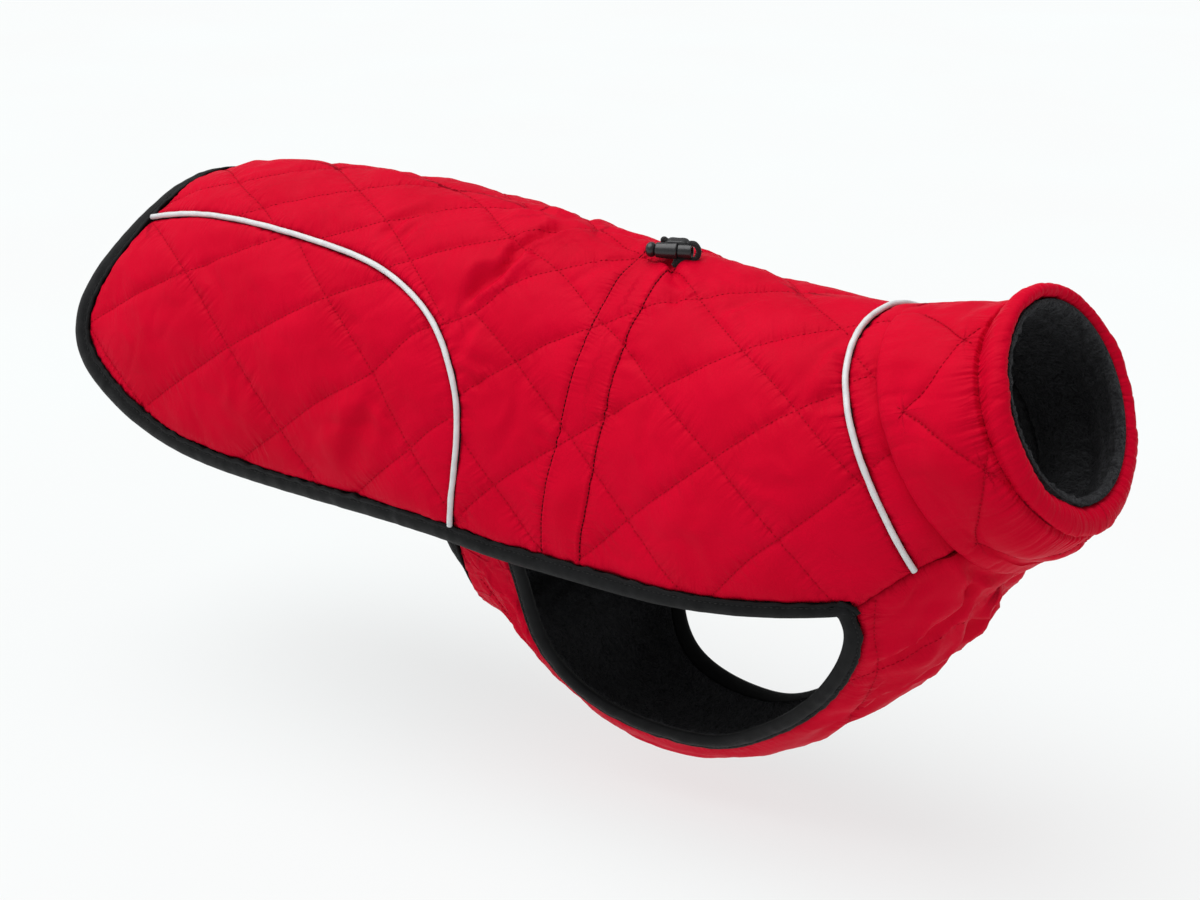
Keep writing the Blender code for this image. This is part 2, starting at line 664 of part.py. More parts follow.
def toggle(plastic, elastic):
    frame = toggle_frame()
    length, width, thick = ANCHOR
    shape = bmesh.new()
    bmesh.ops.create_cube(shape, size=1.0, matrix=Matrix.Diagonal((length, width, thick, 1)))
    base = SEAM_GAP + thick - FACET_SAG
    placed("cord_anchor", shape, elastic, frame, (-0.003, 0, base - thick / 2), 0.0003, 1)
    height = base + SEAM_GAP + BARREL[2]
    turned("toggle_barrel", BARREL, height, 0.0012, plastic, frame)
    turned("toggle_sleeve", SLEEVE, height, 0.0006, plastic, frame)
    turned("toggle_button", BUTTON, height, 0.0024, plastic, frame)
    shape = bmesh.new()
    bmesh.ops.create_cube(shape, size=1.0, matrix=Matrix.Diagonal((*PLATE, 1)))
    plate_height = height + BARREL[2] + SEAM_GAP + PLATE[2] / 2
    placed("toggle_plate", shape, plastic, frame, (PLATE_X, 0, plate_height), 0.0006, 2)
    centre = SLEEVE[1] + 2 * SEAM_GAP
    angles = np.linspace(-pi / 2, pi / 2, 9)
    points = [(centre + np.cos(t) * LOOP_RADIUS, 0, height + np.sin(t) * LOOP_RADIUS)
              for t in angles]
    loop = bead("cord_loop", points, CORD_RADIUS, elastic)
    loop.parent = frame


def main():
    for old in list(bpy.data.objects):
        bpy.data.objects.remove(old, do_unlink=True)
    global collection
    collection = bpy.data.collections.new("dog_winter_coat")
    bpy.context.scene.collection.children.link(collection)
    red = material("quilted_polyester", (0.60, 0.010, 0.035), 0.45, 0.2)
    fleece = material("fleece", (0.012, 0.012, 0.013), 0.95, 0.3)
    binding = material("binding_tape", (0.016, 0.017, 0.018), 0.6)
    piping = material("reflective_piping", (0.60, 0.62, 0.63), 0.4)
    plastic = material("toggle_plastic", (0.02, 0.021, 0.022), 0.35)
    elastic = material("elastic_cord", (0.012, 0.012, 0.013), 0.8)
    lines = coat_lines()
    back_pieces(lines, red, fleece)
    chest_pieces(lines, red, fleece, binding)
    trims(lines, binding, piping)
    collar_pieces(red, fleece)
    toggle(plastic, elastic)


main()
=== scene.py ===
"""Looks of the dog winter coat: red quilted shell, padded collar with a rolled rim, black curly
fleece, black bound edges, silver-grey piping and a cord toggle.

Metres, +Z up, in the frame of the CAD model. The wearer faces +X and its right side is -Y.
A place on the coat is (x, v): the spine station x, and the girth v round the body from the spine,
plus on the left. `out` is an offset along the cloth's outward normal. The belly panel uses
(x, w) instead, where w is the girth from the keel, plus on the left. The tables are in
millimetres where they say so.
"""
from collections import namedtuple
from functools import cached_property
from math import cos, pi, radians, sin

import bpy
import numpy as np
from mathutils import Matrix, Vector
from mathutils.geometry import delaunay_2d_cdt
from mathutils.kdtree import KDTree


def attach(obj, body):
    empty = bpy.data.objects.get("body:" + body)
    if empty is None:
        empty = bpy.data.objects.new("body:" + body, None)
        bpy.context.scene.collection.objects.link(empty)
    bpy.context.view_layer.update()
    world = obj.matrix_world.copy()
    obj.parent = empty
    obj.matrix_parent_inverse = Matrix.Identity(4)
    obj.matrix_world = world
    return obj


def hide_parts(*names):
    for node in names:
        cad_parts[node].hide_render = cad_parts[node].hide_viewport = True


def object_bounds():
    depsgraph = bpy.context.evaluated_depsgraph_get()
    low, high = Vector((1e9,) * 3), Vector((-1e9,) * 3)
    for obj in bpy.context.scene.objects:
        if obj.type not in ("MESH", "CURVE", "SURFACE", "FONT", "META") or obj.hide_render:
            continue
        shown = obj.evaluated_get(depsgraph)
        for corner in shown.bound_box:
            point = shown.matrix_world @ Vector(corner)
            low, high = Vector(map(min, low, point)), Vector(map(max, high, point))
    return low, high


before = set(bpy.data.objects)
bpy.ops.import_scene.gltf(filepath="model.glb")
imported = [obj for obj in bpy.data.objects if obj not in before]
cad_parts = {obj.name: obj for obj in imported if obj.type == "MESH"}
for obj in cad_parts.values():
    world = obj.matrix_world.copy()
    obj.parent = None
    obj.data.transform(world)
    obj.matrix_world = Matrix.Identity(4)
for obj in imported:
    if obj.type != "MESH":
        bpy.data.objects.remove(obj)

CAD_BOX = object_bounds()
MM = 0.001

# ---------------------------------------------------------------- sizes shared with the CAD model
PANEL = 0.0030              # quilted cloth
LINING = 0.0014             # fleece
LAYER_GAP = 0.0007
SEAM_GAP = 0.0003
SHOULDER_GAP = 0.0005
BINDING_GAP = 0.0005
BINDING_WIDTH = 0.0100
BAND_BINDING_WIDTH = 0.0080
LEG_TAPE_WIDTH = 0.0082
PIPING_RADIUS = 0.00175
PIPING_SHOWN = 0.00155      # the bead sinks a little into its seam
STRAP_DEPTH = 0.0074        # the belly straps dive inside the back panel
STRAP_FADE_X = (.110, .050)
STRAP_FADE_V = (.265, .215)
BAND_CURL = 0.0075          # the band's rear edge turns in by this much
BAND_CURL_REACH = 0.0150
BAND_CURL_FADE_V = (.220, .255)
TOGGLE_X, TOGGLE_V = 0.0660, -0.0100
LEFT_LEG_BACK = (0.0060, 0.022, 0.026, 0.095, 0.045)    # the left leg opening hangs further back
LEFT_LEG_LOW = (0.0055, 0.062, 0.036, 0.040, 0.038)     # and lower: size, x, reach, w, reach
LINING_TOP = -(PANEL + LAYER_GAP)
WALL = PANEL + LAYER_GAP + LINING

Ring = namedtuple("Ring", "name x_top z_top x_bottom z_bottom half_width widest bottom_power taper")
RINGS = [
    Ring("tail",   -.310, -.014, -.316, -.200, .0920, .60, 2.0, .00),
    Ring("hip",    -.240,  .004, -.232, -.205, .0950, .60, 2.0, .00),
    Ring("back",   -.150,  .010, -.132, -.208, .0940, .58, 2.2, .10),
    Ring("waist",  -.060,  .007, -.020, -.2195, .0920, .57, 2.35, .18),
    Ring("chest",   .020, -.001,  .022, -.264, .0855, .55, 2.45, .375),
    Ring("arm",     .087, -.007,  .112, -.2715, .0850, .55, 2.35, .43),
    Ring("yoke",    .145, -.013,  .223, -.1950, .0800, .52, 2.4, .15),
    Ring("seam",    .206, -.010,  .270, -.122, .0600, .48, 2.0, .00),
    Ring("bulge",   .236, -.002,  .286, -.1145, .0658, .50, 2.0, .00),
    Ring("casing",  .254, -.002,  .304, -.0986, .0578, .50, 2.0, .00),
]
RIM_RINGS = [
    Ring("seam",  .2546, -.0010,  .3046, -.0982, .0580, .50, 2.0, .00),
    Ring("crown", .2620,  .0080,  .3067, -.0998, .0590, .50, 2.0, .00),
    Ring("front", .2680,  .0080,  .3077, -.0935, .0546, .50, 2.0, .00),
    Ring("mouth", .2670,  .0030,  .3035, -.0870, .0488, .50, 2.0, .00),
]
COLLAR_SEAM, COLLAR_CASING = 7.0, 9.0       # numbers of the rings where the collar starts and ends
COLLAR_X = RINGS[int(COLLAR_SEAM)].x_top - SEAM_GAP         # where the panels end in front

# Lines on one half of the coat as (x, v) in millimetres. The other half mirrors them.
HEM = [
    (-290, 0), (-293, 40), (-304, 73), (-314, 103), (-309, 135), (-287, 164), (-255, 191),
    (-215, 209), (-156, 216.5), (-90, 217), (-40, 211), (18, 199.5), (72, 193), (120, 191.5),
    (152, 189),
]
HEM_WIDTHS = [              # the hem tape as it shows: station, width
    (-320, 13), (-200, 13.2), (-90, 12.5), (-40, 11.5), (0, 10.6), (50, 9.6), (100, 8.8),
    (130, 8.5), (154, 7),
]
TAIL_PIPING = [
    (-300, 55.5), (-255, 57), (-200, 61), (-136, 67), (-96, 73), (-68, 83), (-48, 96), (-34, 114),
    (-27, 134), (-29, 160), (-37, 185), (-46, 205),
]
NECK_PIPING = [(188, 0), (186.5, 18), (184, 50), (184, 85), (184, 122), (181.2, 158.5)]
SHOULDER_SEAM = [(154, 185), (167, 173.5), (181, 162), (193, 156), (205.5, 151)]
LEG_FOLD = [
    (3, 130), (8.5, 165), (14.3, 196), (15, 212), (16.5, 227), (20.5, 243), (26.5, 258), (34, 272),
    (45.5, 283), (61.5, 289), (78, 292), (91, 291), (102, 281), (113, 267), (124, 250), (133, 233),
    (140, 218), (146, 202), (148, 190.5),
]
BAND_REAR = [(-91, 322), (-87, 290), (-76.5, 261), (-69, 232), (-62, 200), (-52, 165), (-42, 130)]
LEG_CORNER = [              # the leg tape fans round its upper corner: fold, then seam
    ((147.8, 189.3), (154.9, 186.8)), ((146.8, 188.4), (154.6, 183.8)),
    ((145.5, 188), (153.2, 181.5)), ((144, 188), (151.2, 180)),
]
HEM_CORNER = [(154.5, 180), (154.8, 193)]        # where the back panel meets the leg tape

# ---------------------------------------------------------------- quilting, channel and creases
# Stitch lines on one half of the coat, from the spine down, as (x, v) in millimetres. The first
# family runs down towards the head, the second down towards the tail. Both halves are alike.
DOWN_LINES = {
    "side": [
        [(-285, 56), (-275, 63), (-231, 95), (-186, 134), (-149, 174), (-128, 212)],
        [(-163, 62), (-124, 96), (-89, 129), (-65, 163), (-33, 196)],
        [(-300, 124), (-276, 151), (-255, 173)],
    ],
    "centre": [
        [(-275, 0), (-250, 17), (-222, 36), (-195, 50), (-168, 68)],
        [(-180, 0), (-160, 13), (-135, 28), (-106, 44), (-78, 64), (-42, 92)],
        [(-91.5, 0), (-59, 13), (-27, 30), (11, 40), (43, 56), (66, 67), (90, 85), (120, 112),
         (141, 147), (149, 177), (152, 195)],
        [(10, 0), (48, 13), (71, 17), (95, 31), (130, 55), (159, 80), (179, 110), (185, 120)],
        [(137, 0), (152, 12), (174, 27), (188, 40)],
        [(-27, 79), (8, 94), (41, 114), (62, 130), (83, 152), (110, 192)],
        [(-30, 142), (4, 160), (22, 171), (50, 192)],
    ],
    "yoke": [
        [(184, 42), (197, 55), (209, 67)],
    ],
    "chest": [
        [(172, 155), (160, 186), (152, 210), (145, 235), (133, 265), (120, 300)],
    ],
}
UP_LINES = {
    "side": [
        [(-305, 123), (-261, 106), (-231, 95), (-205, 84), (-155, 60)],
        [(-266, 182), (-218, 154), (-186, 134), (-154, 114), (-124, 96), (-76, 70)],
        [(-195, 208), (-149, 174), (-118, 149), (-89, 129), (-61, 100), (-35, 90)],
        [(-120, 212), (-85, 180), (-65, 163), (-47, 147), (-18, 126)],
    ],
    "centre": [
        [(-292, 50), (-251, 34), (-225, 28), (-202, 16), (-180, 0)],
        [(-226, 64), (-195, 50), (-150, 28), (-117, 9), (-91.5, 0)],
        [(-156, 69), (-122, 53), (-86, 30), (-61, 14), (-34, 0)],
        [(-98, 76), (-78, 64), (-41, 40), (-27, 30), (-10, 14), (10, 0)],
        [(-56, 97), (-27, 79), (-11, 58), (11, 40), (39, 21), (54, 12)],
        [(-38, 132), (8, 94), (26, 78), (53, 59), (78, 40), (108, 23), (137, 0)],
        [(-50, 204), (4, 160), (42, 128), (63, 109), (90, 85), (130, 54), (168, 31), (192, 19)],
        [(40, 196), (63, 177), (83, 152), (120, 112), (159, 80), (192, 61)],
        [(104, 196), (126, 163), (141, 147), (160, 129), (192, 100)],
    ],
    "yoke": [
        [(180, 63), (197, 55), (210, 50)],
        [(178, 112), (196, 96), (212, 88)],
        [(182, 23), (198, 17), (210, 12)],
    ],
    "chest": [
        [(120, 245), (145, 236), (168, 226), (190, 214)],
        [(-60, 225), (-30, 262), (0, 300)],
        [(4, 205), (20, 262)],
    ],
}
CHANNEL = {                 # the drawcord's channel across the back: its two stitched edges
    "rear": [(47, 0), (47.5, 30), (46, 60), (45, 90), (43, 124), (40, 155), (38.5, 197)],
    "front": [(69, 0), (69.5, 30), (67.5, 60), (67, 90), (65.5, 124), (63, 155), (58.5, 197)],
}

# Creases: depth, width, height of the lip beside the trough, and points (x, v), in millimetres.
BACK_CREASES = [
    (5.0, 3.9, 2.4, [(-37, 84), (-33.4, 73.5), (-28.9, 68.1), (-20.4, 53.7), (-16.9, 42.9),
                     (-14.4, 29.4), (-9.8, 22), (-5.9, 8.2), (-3.1, 2)]),
    (1.3, 2.6, 0.7, [(-25.9, 30), (-19.5, 35.4), (-20.4, 39.4), (-14.5, 40.6)]),
    (1.2, 4.6, 0.9, [(-49.5, 6.2), (-37.5, 2), (-10.6, 0.9)]),
    (2.6, 3.0, 1.6, [(64, 6), (67.6, 14.6), (77, 23.5), (88.4, 27.9)]),
    (1.8, 3.0, 1.4, [(71.2, 15), (58.4, 11.4), (48.4, 10.9)]),
    (1.2, 4.4, 1.0, [(108.1, 37), (119.4, 28.3), (127.4, 15.5)]),
    (1.5, 3.2, 0.9, [(-30, 78), (-30, 64), (-24, 48)]),
    (1.9, 3.8, 1.1, [(-101, 64), (-99, 46), (-88, 30), (-76, 26)]),
    (1.3, 3.0, 0.7, [(-91, 56), (-83, 40)]),
    (1.9, 6.5, 1.5, [(-84, 134), (-96, 161), (-112, 196)]),
    (1.0, 3.6, 0.7, [(-92, 140), (-79, 150), (-71, 158)]),
    (1.4, 3.2, 0.6, [(-34, 110), (-28, 94), (-25, 80)]),
    (1.0, 2.8, 0.5, [(-32, 100), (-16, 103), (0, 100)]),
    (0.9, 2.6, 0.5, [(-31, 110), (-16, 113), (-6, 112)]),
    (0.8, 2.8, 0.5, [(-29, 128), (-10, 134)]),
    (1.3, 3.0, 0.6, [(28, 110), (38, 115), (47, 124)]),
    (1.0, 3.0, 0.6, [(31, 122), (44, 130)]),
    (1.0, 3.0, 0.6, [(26, 150), (41, 154)]),
    (0.9, 2.8, 0.5, [(63, 100), (78, 104)]),
    (0.9, 2.8, 0.5, [(66, 76), (84, 74)]),
    (1.3, 5.0, 1.3, [(158, 68), (166, 60), (176, 42), (186, 44)]),
    (1.0, 4.6, 0.8, [(166, 80), (182, 66)]),
    (1.5, 5.0, 1.1, [(66, 14), (79, 30), (88, 46)]),
    (1.1, 4.6, 0.8, [(76, 4), (96, 13), (120, 14)]),
    (1.2, 4.2, 0.8, [(74, 10), (90, 20), (100, 28)]),
    (1.1, 4.0, 0.8, [(52, 16), (34, 30), (22, 50)]),
    (0.9, 4.0, 0.6, [(46, 8), (26, 10), (4, 4)]),
    (0.9, 4.2, 0.6, [(-254, 26), (-228, 18), (-204, 6)]),
    (0.8, 4.0, 0.6, [(-160, 34), (-146, 46), (-138, 60)]),
    (0.9, 4.2, 0.7, [(-228, 88), (-206, 98), (-192, 112)]),
    (0.8, 4.0, 0.6, [(-120, 100), (-104, 106), (-94, 104)]),
    (0.9, 4.4, 0.7, [(-186, 140), (-176, 156), (-178, 172)]),
    (0.8, 4.0, 0.6, [(10, 98), (16, 116), (12, 136)]),
    (0.9, 4.6, 0.7, [(92, 88), (90, 110), (96, 128)]),
    (0.8, 4.4, 0.6, [(128, 114), (142, 120), (160, 116)]),
    (0.8, 4.2, 0.6, [(104, 150), (112, 164), (110, 182)]),
]
CHEST_CREASES = [
    (4.0, 4.6, 2.2, [(205.2, 160), (196, 172), (178, 206), (162, 220), (140, 236)]),
    (3.4, 5.4, 2.0, [(205.2, 176), (190, 198), (177, 221), (159, 258), (140, 270), (112, 288)]),
    (2.6, 4.6, 1.6, [(205, 193), (192, 216), (174, 246), (150, 274)]),
    (3.2, 3.2, 1.8, [(201, 155), (196.5, 166), (195.5, 180), (198, 194)]),
    (1.6, 4.0, 1.0, [(186, 168), (176, 176), (166, 192)]),
    (1.4, 4.6, 1.0, [(150, 232), (136, 262), (110, 300)]),
    (1.0, 3.0, 0.7, [(-12, 200), (-6, 222), (10, 250), (18, 276)]),
    (1.0, 2.4, 0.7, [(4, 196), (6, 212), (14, 226), (18, 244)]),
    (0.9, 2.4, 0.6, [(-34, 205), (-22, 232), (-4, 262), (12, 292)]),
    (0.8, 2.2, 0.6, [(-46, 215), (-40, 240), (-22, 268), (-10, 300)]),
    (0.8, 2.2, 0.5, [(-20, 212), (-10, 232), (10, 240)]),
    (0.9, 2.6, 0.6, [(0, 262), (16, 290), (36, 310)]),
    (0.8, 2.6, 0.5, [(30, 300), (60, 318), (100, 316)]),
]


# ---------------------------------------------------------------- curves and the tube
def unit(vectors):
    """The vectors at length 1."""
    return vectors / np.linalg.norm(vectors, axis=-1, keepdims=True)


def bell(value, width, power=2):
    """1 where the value is 0, falling to nothing over about two widths."""
    return np.exp(-(value / width) ** power)


def fading(distance, reach):
    """1 at the distance 0, falling away over a reach."""
    return np.exp(-distance / reach)


def ramp(value, start, end):
    """From 0 at the start to 1 at the end, with a soft turn at both."""
    t = np.clip((value - start) / (end - start), 0, 1)
    return t * t * (3 - 2 * t)


def grid(rows, columns):
    """Every pair of a row's value and a column's, row by row."""
    return np.stack([np.repeat(rows, len(columns)), np.tile(columns, len(rows))], -1)


def spline(values, s):
    """Natural cubic spline through evenly numbered rows, at the row numbers s."""
    s = np.asarray(s, float)
    matrix, right = np.eye(len(values)), np.zeros_like(values)
    for i in range(1, len(values) - 1):
        matrix[i, i - 1:i + 2] = (1, 4, 1)
        right[i] = 6 * (values[i + 1] - 2 * values[i] + values[i - 1])
    bends = np.linalg.solve(matrix, right)
    i = np.clip(np.floor(s).astype(int), 0, len(values) - 2)
    f = (s - i)[..., None]
    g = 1 - f
    straight = values[i] * g + values[i + 1] * f
    return straight + ((g ** 3 - g) * bends[i] + (f ** 3 - f) * bends[i + 1]) / 6


def drawn(values, count):
    """The spline through a table of points, at `count` even row numbers."""
    return spline(values, np.linspace(0, len(values) - 1, count))


BODY = np.array([ring[1:] for ring in RINGS])
RIM = np.array([ring[1:] for ring in RIM_RINGS])
TAPER_EASE = 0.15


def height_at_origin():
    """Lifts the coat so that the lining's inner face lies at z = 0 over the origin."""
    x_top, z_top = drawn(BODY, 901)[:, :2].T
    return WALL - float(np.interp(0.0, x_top, z_top))


SHIFT_UP = height_at_origin()


def ring_point(tube, s, angle):
    """Point of a tube's ring number s at an angle from the spine, plus on the left."""
    s, angle = np.broadcast_arrays(np.asarray(s, float), np.asarray(angle, float))
    x_top, z_top, x_bottom, z_bottom, half_width, widest, power, taper = np.moveaxis(
        spline(tube, s), -1, 0)
    cosine = np.cos(angle)
    upper = cosine > 0
    down = np.where(upper, widest * (1 - cosine), widest - (1 - widest) * cosine)
    depth = np.clip(-cosine, 0, 1)
    pinch = 1 - taper * (np.sqrt(depth ** 2 + TAPER_EASE ** 2) - TAPER_EASE)
    lower = pinch * np.clip(1 - depth ** power, 0, 1) ** (1 / power)
    side = np.where(upper, np.abs(np.sin(angle)), lower) * np.sign(angle)
    x = x_top + (x_bottom - x_top) * down
    z = z_top + (z_bottom - z_top) * down
    return np.stack([x, half_width * side, z + SHIFT_UP], -1)


STATIONS = np.linspace(-0.5, len(RINGS) - 1, 381)       # the girth tables' rows
FRACTIONS = np.linspace(0, 1, 241)                      # and columns
KEEL_EASE = 0.04            # the last share of the half turn, where the angles are crowded


def girth_tables():
    """Half girth of each station, and the angle at each fraction of it."""
    even = np.linspace(0, pi * (1 - KEEL_EASE), 360)
    crowded = pi - pi * KEEL_EASE * (1 - np.linspace(0, 1, 90)[1:]) ** 2
    angles = np.concatenate([even, crowded])
    points = ring_point(BODY, STATIONS[:, None], angles[None, :])
    steps = np.linalg.norm(np.diff(points, axis=1), axis=2)
    lengths = np.concatenate([np.zeros((len(STATIONS), 1)), np.cumsum(steps, axis=1)], axis=1)
    half = lengths[:, -1]
    table = [np.interp(FRACTIONS * total, row, angles) for total, row in zip(half, lengths)]
    return half, np.array(table)


HALF_GIRTHS, ANGLE_TABLE = girth_tables()
SPINE_X = spline(BODY, STATIONS)[:, 0]


def half_girth(x):
    return np.interp(np.interp(x, SPINE_X, STATIONS), STATIONS, HALF_GIRTHS)


def skin(x, v):
    """The body's smooth form at a place of the coat."""
    s, v = np.broadcast_arrays(np.interp(x, SPINE_X, STATIONS), np.asarray(v, float))
    total = np.interp(s, STATIONS, HALF_GIRTHS)
    step = STATIONS[1] - STATIONS[0]
    row = np.clip((s - STATIONS[0]) / step, 0, len(STATIONS) - 1.000001)
    column = np.clip(np.abs(v) / total, 0, 1) * (len(FRACTIONS) - 1) * 0.999999
    i, j = row.astype(int), column.astype(int)
    f, g = row - i, column - j
    low = ANGLE_TABLE[i, j] * (1 - g) + ANGLE_TABLE[i, j + 1] * g
    high = ANGLE_TABLE[i + 1, j] * (1 - g) + ANGLE_TABLE[i + 1, j + 1] * g
    return ring_point(BODY, s, np.sign(v) * (low * (1 - f) + high * f))


def keel_skin(x, w):
    """The same form by spine station and the distance w from the keel, plus on the left."""
    side = np.where(w >= 0, 1.0, -1.0)
    return skin(x, side * (half_girth(x) - np.abs(w)))


def outward(function, a, b, step=0.0012):
    """Outward unit normal of a surface function of two variables, and its two slopes."""
    slope_a = (function(a + step, b) - function(a - step, b)) / (2 * step)
    slope_b = (function(a, b + step) - function(a, b - step)) / (2 * step)
    return unit(np.cross(slope_a, slope_b)), slope_a, slope_b


def back_surface(flat, out=0.0):
    """Points of the back panel's surface, moved out."""
    x, v = flat[:, 0], flat[:, 1]
    normal, _, _ = outward(skin, x, v)
    return skin(x, v) + np.broadcast_to(out, x.shape)[:, None] * normal


def strap_depth(x, v):
    """How far inside the body's form the belly straps lie."""
    return STRAP_DEPTH * ramp(x, *STRAP_FADE_X) * ramp(np.abs(v), *STRAP_FADE_V)


def band_curl(x, v):
    """How far the belly band's rear edge has turned in."""
    rear_x, rear_v = np.array(BAND_REAR[::-1]).T / 1000
    from_rear = x - np.interp(v, rear_v, rear_x)
    return BAND_CURL * ramp(from_rear, BAND_CURL_REACH, 0) * ramp(v, *BAND_CURL_FADE_V)


def worn(x, w):
    """The left leg opening hangs a little wider, lower and further back than the right one."""
    left = ramp(w, 0.000, 0.020)

    def sag(size, at_x, reach_x, at_w, reach_w):
        return size * np.exp(-((x - at_x) / reach_x) ** 2 - ((w - at_w) / reach_w) ** 2) * left

    return x - sag(*LEFT_LEG_BACK), w - sag(*LEFT_LEG_LOW)


def chest_surface(flat, out=0.0):
    """Points of the belly panel's surface, which dives inside the back panel at the straps."""
    x, w = worn(flat[:, 0], flat[:, 1])
    normal, _, _ = outward(keel_skin, x, w)
    girth = half_girth(x) - np.abs(w)
    depth = strap_depth(x, girth) + band_curl(x, girth)
    return keel_skin(x, w) - (np.broadcast_to(out, x.shape) - depth)[:, None] * normal


def to_keel(line):
    """A line from girth to distance from the keel."""
    return np.stack([line[:, 0], half_girth(line[:, 0]) - line[:, 1]], -1)


# ---------------------------------------------------------------- lines on the flat pattern
FINE_STEP = 0.0021


def resampled(fine, length, step=FINE_STEP):
    """A finely drawn line cut into even steps of the lengths given for its points."""
    count = max(2, int(round(length[-1] / step)) + 1)
    even = np.linspace(0, length[-1], count)
    return np.stack([np.interp(even, length, fine[:, k]) for k in range(fine.shape[1])], -1)


def run_length(points):
    """Distance along a run of 3-D points."""
    steps = np.linalg.norm(np.diff(points, axis=0), axis=1)
    return np.concatenate([[0], np.cumsum(steps)])


def seam_line(points):
    """Smooth line through a table in millimetres, sampled in even steps of real length."""
    fine = drawn(np.array(points) / 1000, 40 * len(points))
    return resampled(fine, run_length(skin(fine[:, 0], fine[:, 1])))


def moved(line, distance):
    """The line moved sideways over the cloth by a real distance, plus to its left."""
    x, v = line[:, 0], line[:, 1]
    normal, slope_x, slope_v = outward(skin, x, v)
    side = unit(np.cross(normal, np.gradient(skin(x, v), axis=0)))
    distance = np.broadcast_to(distance, len(line))
    result = []
    for k, start in enumerate(line):
        slopes = np.stack([slope_x[k], slope_v[k]], -1)
        shift, *_ = np.linalg.lstsq(slopes, side[k], rcond=None)
        result.append(start + distance[k] * shift)
    return np.array(result)


def extended(line, length=0.015):
    """The line with a straight piece added at both ends."""
    def beyond(end, before):
        return end + (end - before) / np.linalg.norm(end - before) * length

    return np.vstack([beyond(line[0], line[1]), line, beyond(line[-1], line[-2])])


def crossing(one, two):
    """Where line one first crosses line two: the point and both segment numbers."""
    a, b = np.diff(one, axis=0)[:, None], np.diff(two, axis=0)[None, :]
    gap = two[None, :-1] - one[:-1, None]
    area = a[..., 0] * b[..., 1] - a[..., 1] * b[..., 0]
    area = np.where(np.abs(area) < 1e-16, 1e-16, area)
    t = (gap[..., 0] * b[..., 1] - gap[..., 1] * b[..., 0]) / area
    u = (gap[..., 0] * a[..., 1] - gap[..., 1] * a[..., 0]) / area
    i, j = np.argwhere((t >= 0) & (t <= 1) & (u >= 0) & (u <= 1))[0]
    return one[i] + t[i, j] * (one[i + 1] - one[i]), i, j


def joined(*lines):
    """One path along several lines, each cut where it crosses the next."""
    path = lines[0]
    for line in lines[1:]:
        point, i, j = crossing(path, line)
        path = np.vstack([path[:i + 1], point, line[j + 1:]])
    keep = [0]
    for k in range(1, len(path)):
        if np.linalg.norm(path[k] - path[keep[-1]]) > FINE_STEP * 0.3:
            keep.append(k)
    return path[keep]


def cut_from_spine(line):
    """The line continued to the spine at its start, so that its mirror image meets it there."""
    return np.vstack([(line[0][0], 0.0), line[1:]])


def both_sides(line):
    """The line and its mirror image, joined where it starts on the axis of symmetry."""
    return np.vstack([line[::-1] * (1, -1), line[1:]])


def mirrored_outline(path):
    """Closed outline from a path that starts and ends on the axis of symmetry."""
    return np.vstack([path, path[::-1][1:-1] * (1, -1)])


def closed_line(outline):
    return np.vstack([outline, outline[:1]])


# ---------------------------------------------------------------- noise and distance
def waves(places, length, seed, count=18):
    """Smooth seeded noise of unit size over places, with features about `length` across."""
    random = np.random.default_rng(seed)
    places = np.asarray(places, float)
    if places.ndim == 1:
        places = places[:, None]
    directions = unit(random.normal(size=(count, places.shape[1])))
    turns = directions / (length * random.uniform(0.7, 1.5, count))[:, None]
    phases = random.uniform(0, 2 * pi, count)
    return np.cos(2 * pi * places @ turns.T + phases).sum(axis=1) / np.sqrt(count / 2)


def layered(places, seed, *layers):
    """Noise of several sizes: a height and a length for each, with seeds from `seed` up."""
    return sum(height * waves(places, length, seed + k)
               for k, (height, length) in enumerate(layers))


def valleys(noise, width=0.45):
    """Narrow troughs, from 0 to -1, where the noise passes through zero."""
    return -bell(noise, width)


def nearest(points, targets):
    """Number of the nearest target to each point, and the distance to it."""
    def spot(point):
        return (*map(float, point), 0.0)[:3]

    tree = KDTree(len(targets))
    for k, target in enumerate(targets):
        tree.insert(spot(target), k)
    tree.balance()
    found = [tree.find(spot(point)) for point in points]
    return np.array([f[1] for f in found]), np.array([f[2] for f in found])


class Lines:
    """Stitch lines or edges on a surface, to be measured from."""

    def __init__(self, lines, surface, seed):
        random = np.random.default_rng(seed)
        runs = [surface(line) for line in lines]
        self.points = np.vstack(runs)
        self.tangents = unit(np.vstack([np.gradient(run, axis=0) for run in runs]))
        self.along = np.concatenate([run_length(run) for run in runs])
        self.total = np.concatenate([np.full(len(run), run_length(run)[-1]) for run in runs])
        self.shift = np.concatenate([np.full(len(run), random.uniform(0, 50)) for run in runs])
        normals = [surface(line, 0.001) - run for line, run in zip(lines, runs)]
        self.sides = np.cross(np.vstack(normals), self.tangents)

    def measure(self, places):
        """Distance to the nearest line, its side (plus on the left), how far along that line the
        place is from the nearer end, and a running number for noise along it."""
        index, _ = nearest(places, self.points)
        gap = places - self.points[index]
        ahead = (gap * self.tangents[index]).sum(axis=1)
        along = self.along[index] + ahead
        inner = np.clip(along, 0, self.total[index])
        across = np.sqrt(np.maximum((gap ** 2).sum(axis=1) - ahead ** 2, 0))
        side = np.sign((gap * self.sides[index]).sum(axis=1))
        return (np.hypot(across, along - inner), side, np.minimum(inner, self.total[index] - inner),
                inner + self.shift[index])


# ---------------------------------------------------------------- meshes
ROW_HEIGHT = 0.8660         # of a cell, for even triangles
CLEAR_OF_CORNERS = 0.62     # of a cell, between the lattice and the placed corners
CLEAR_OF_OUTLINE = 0.0009


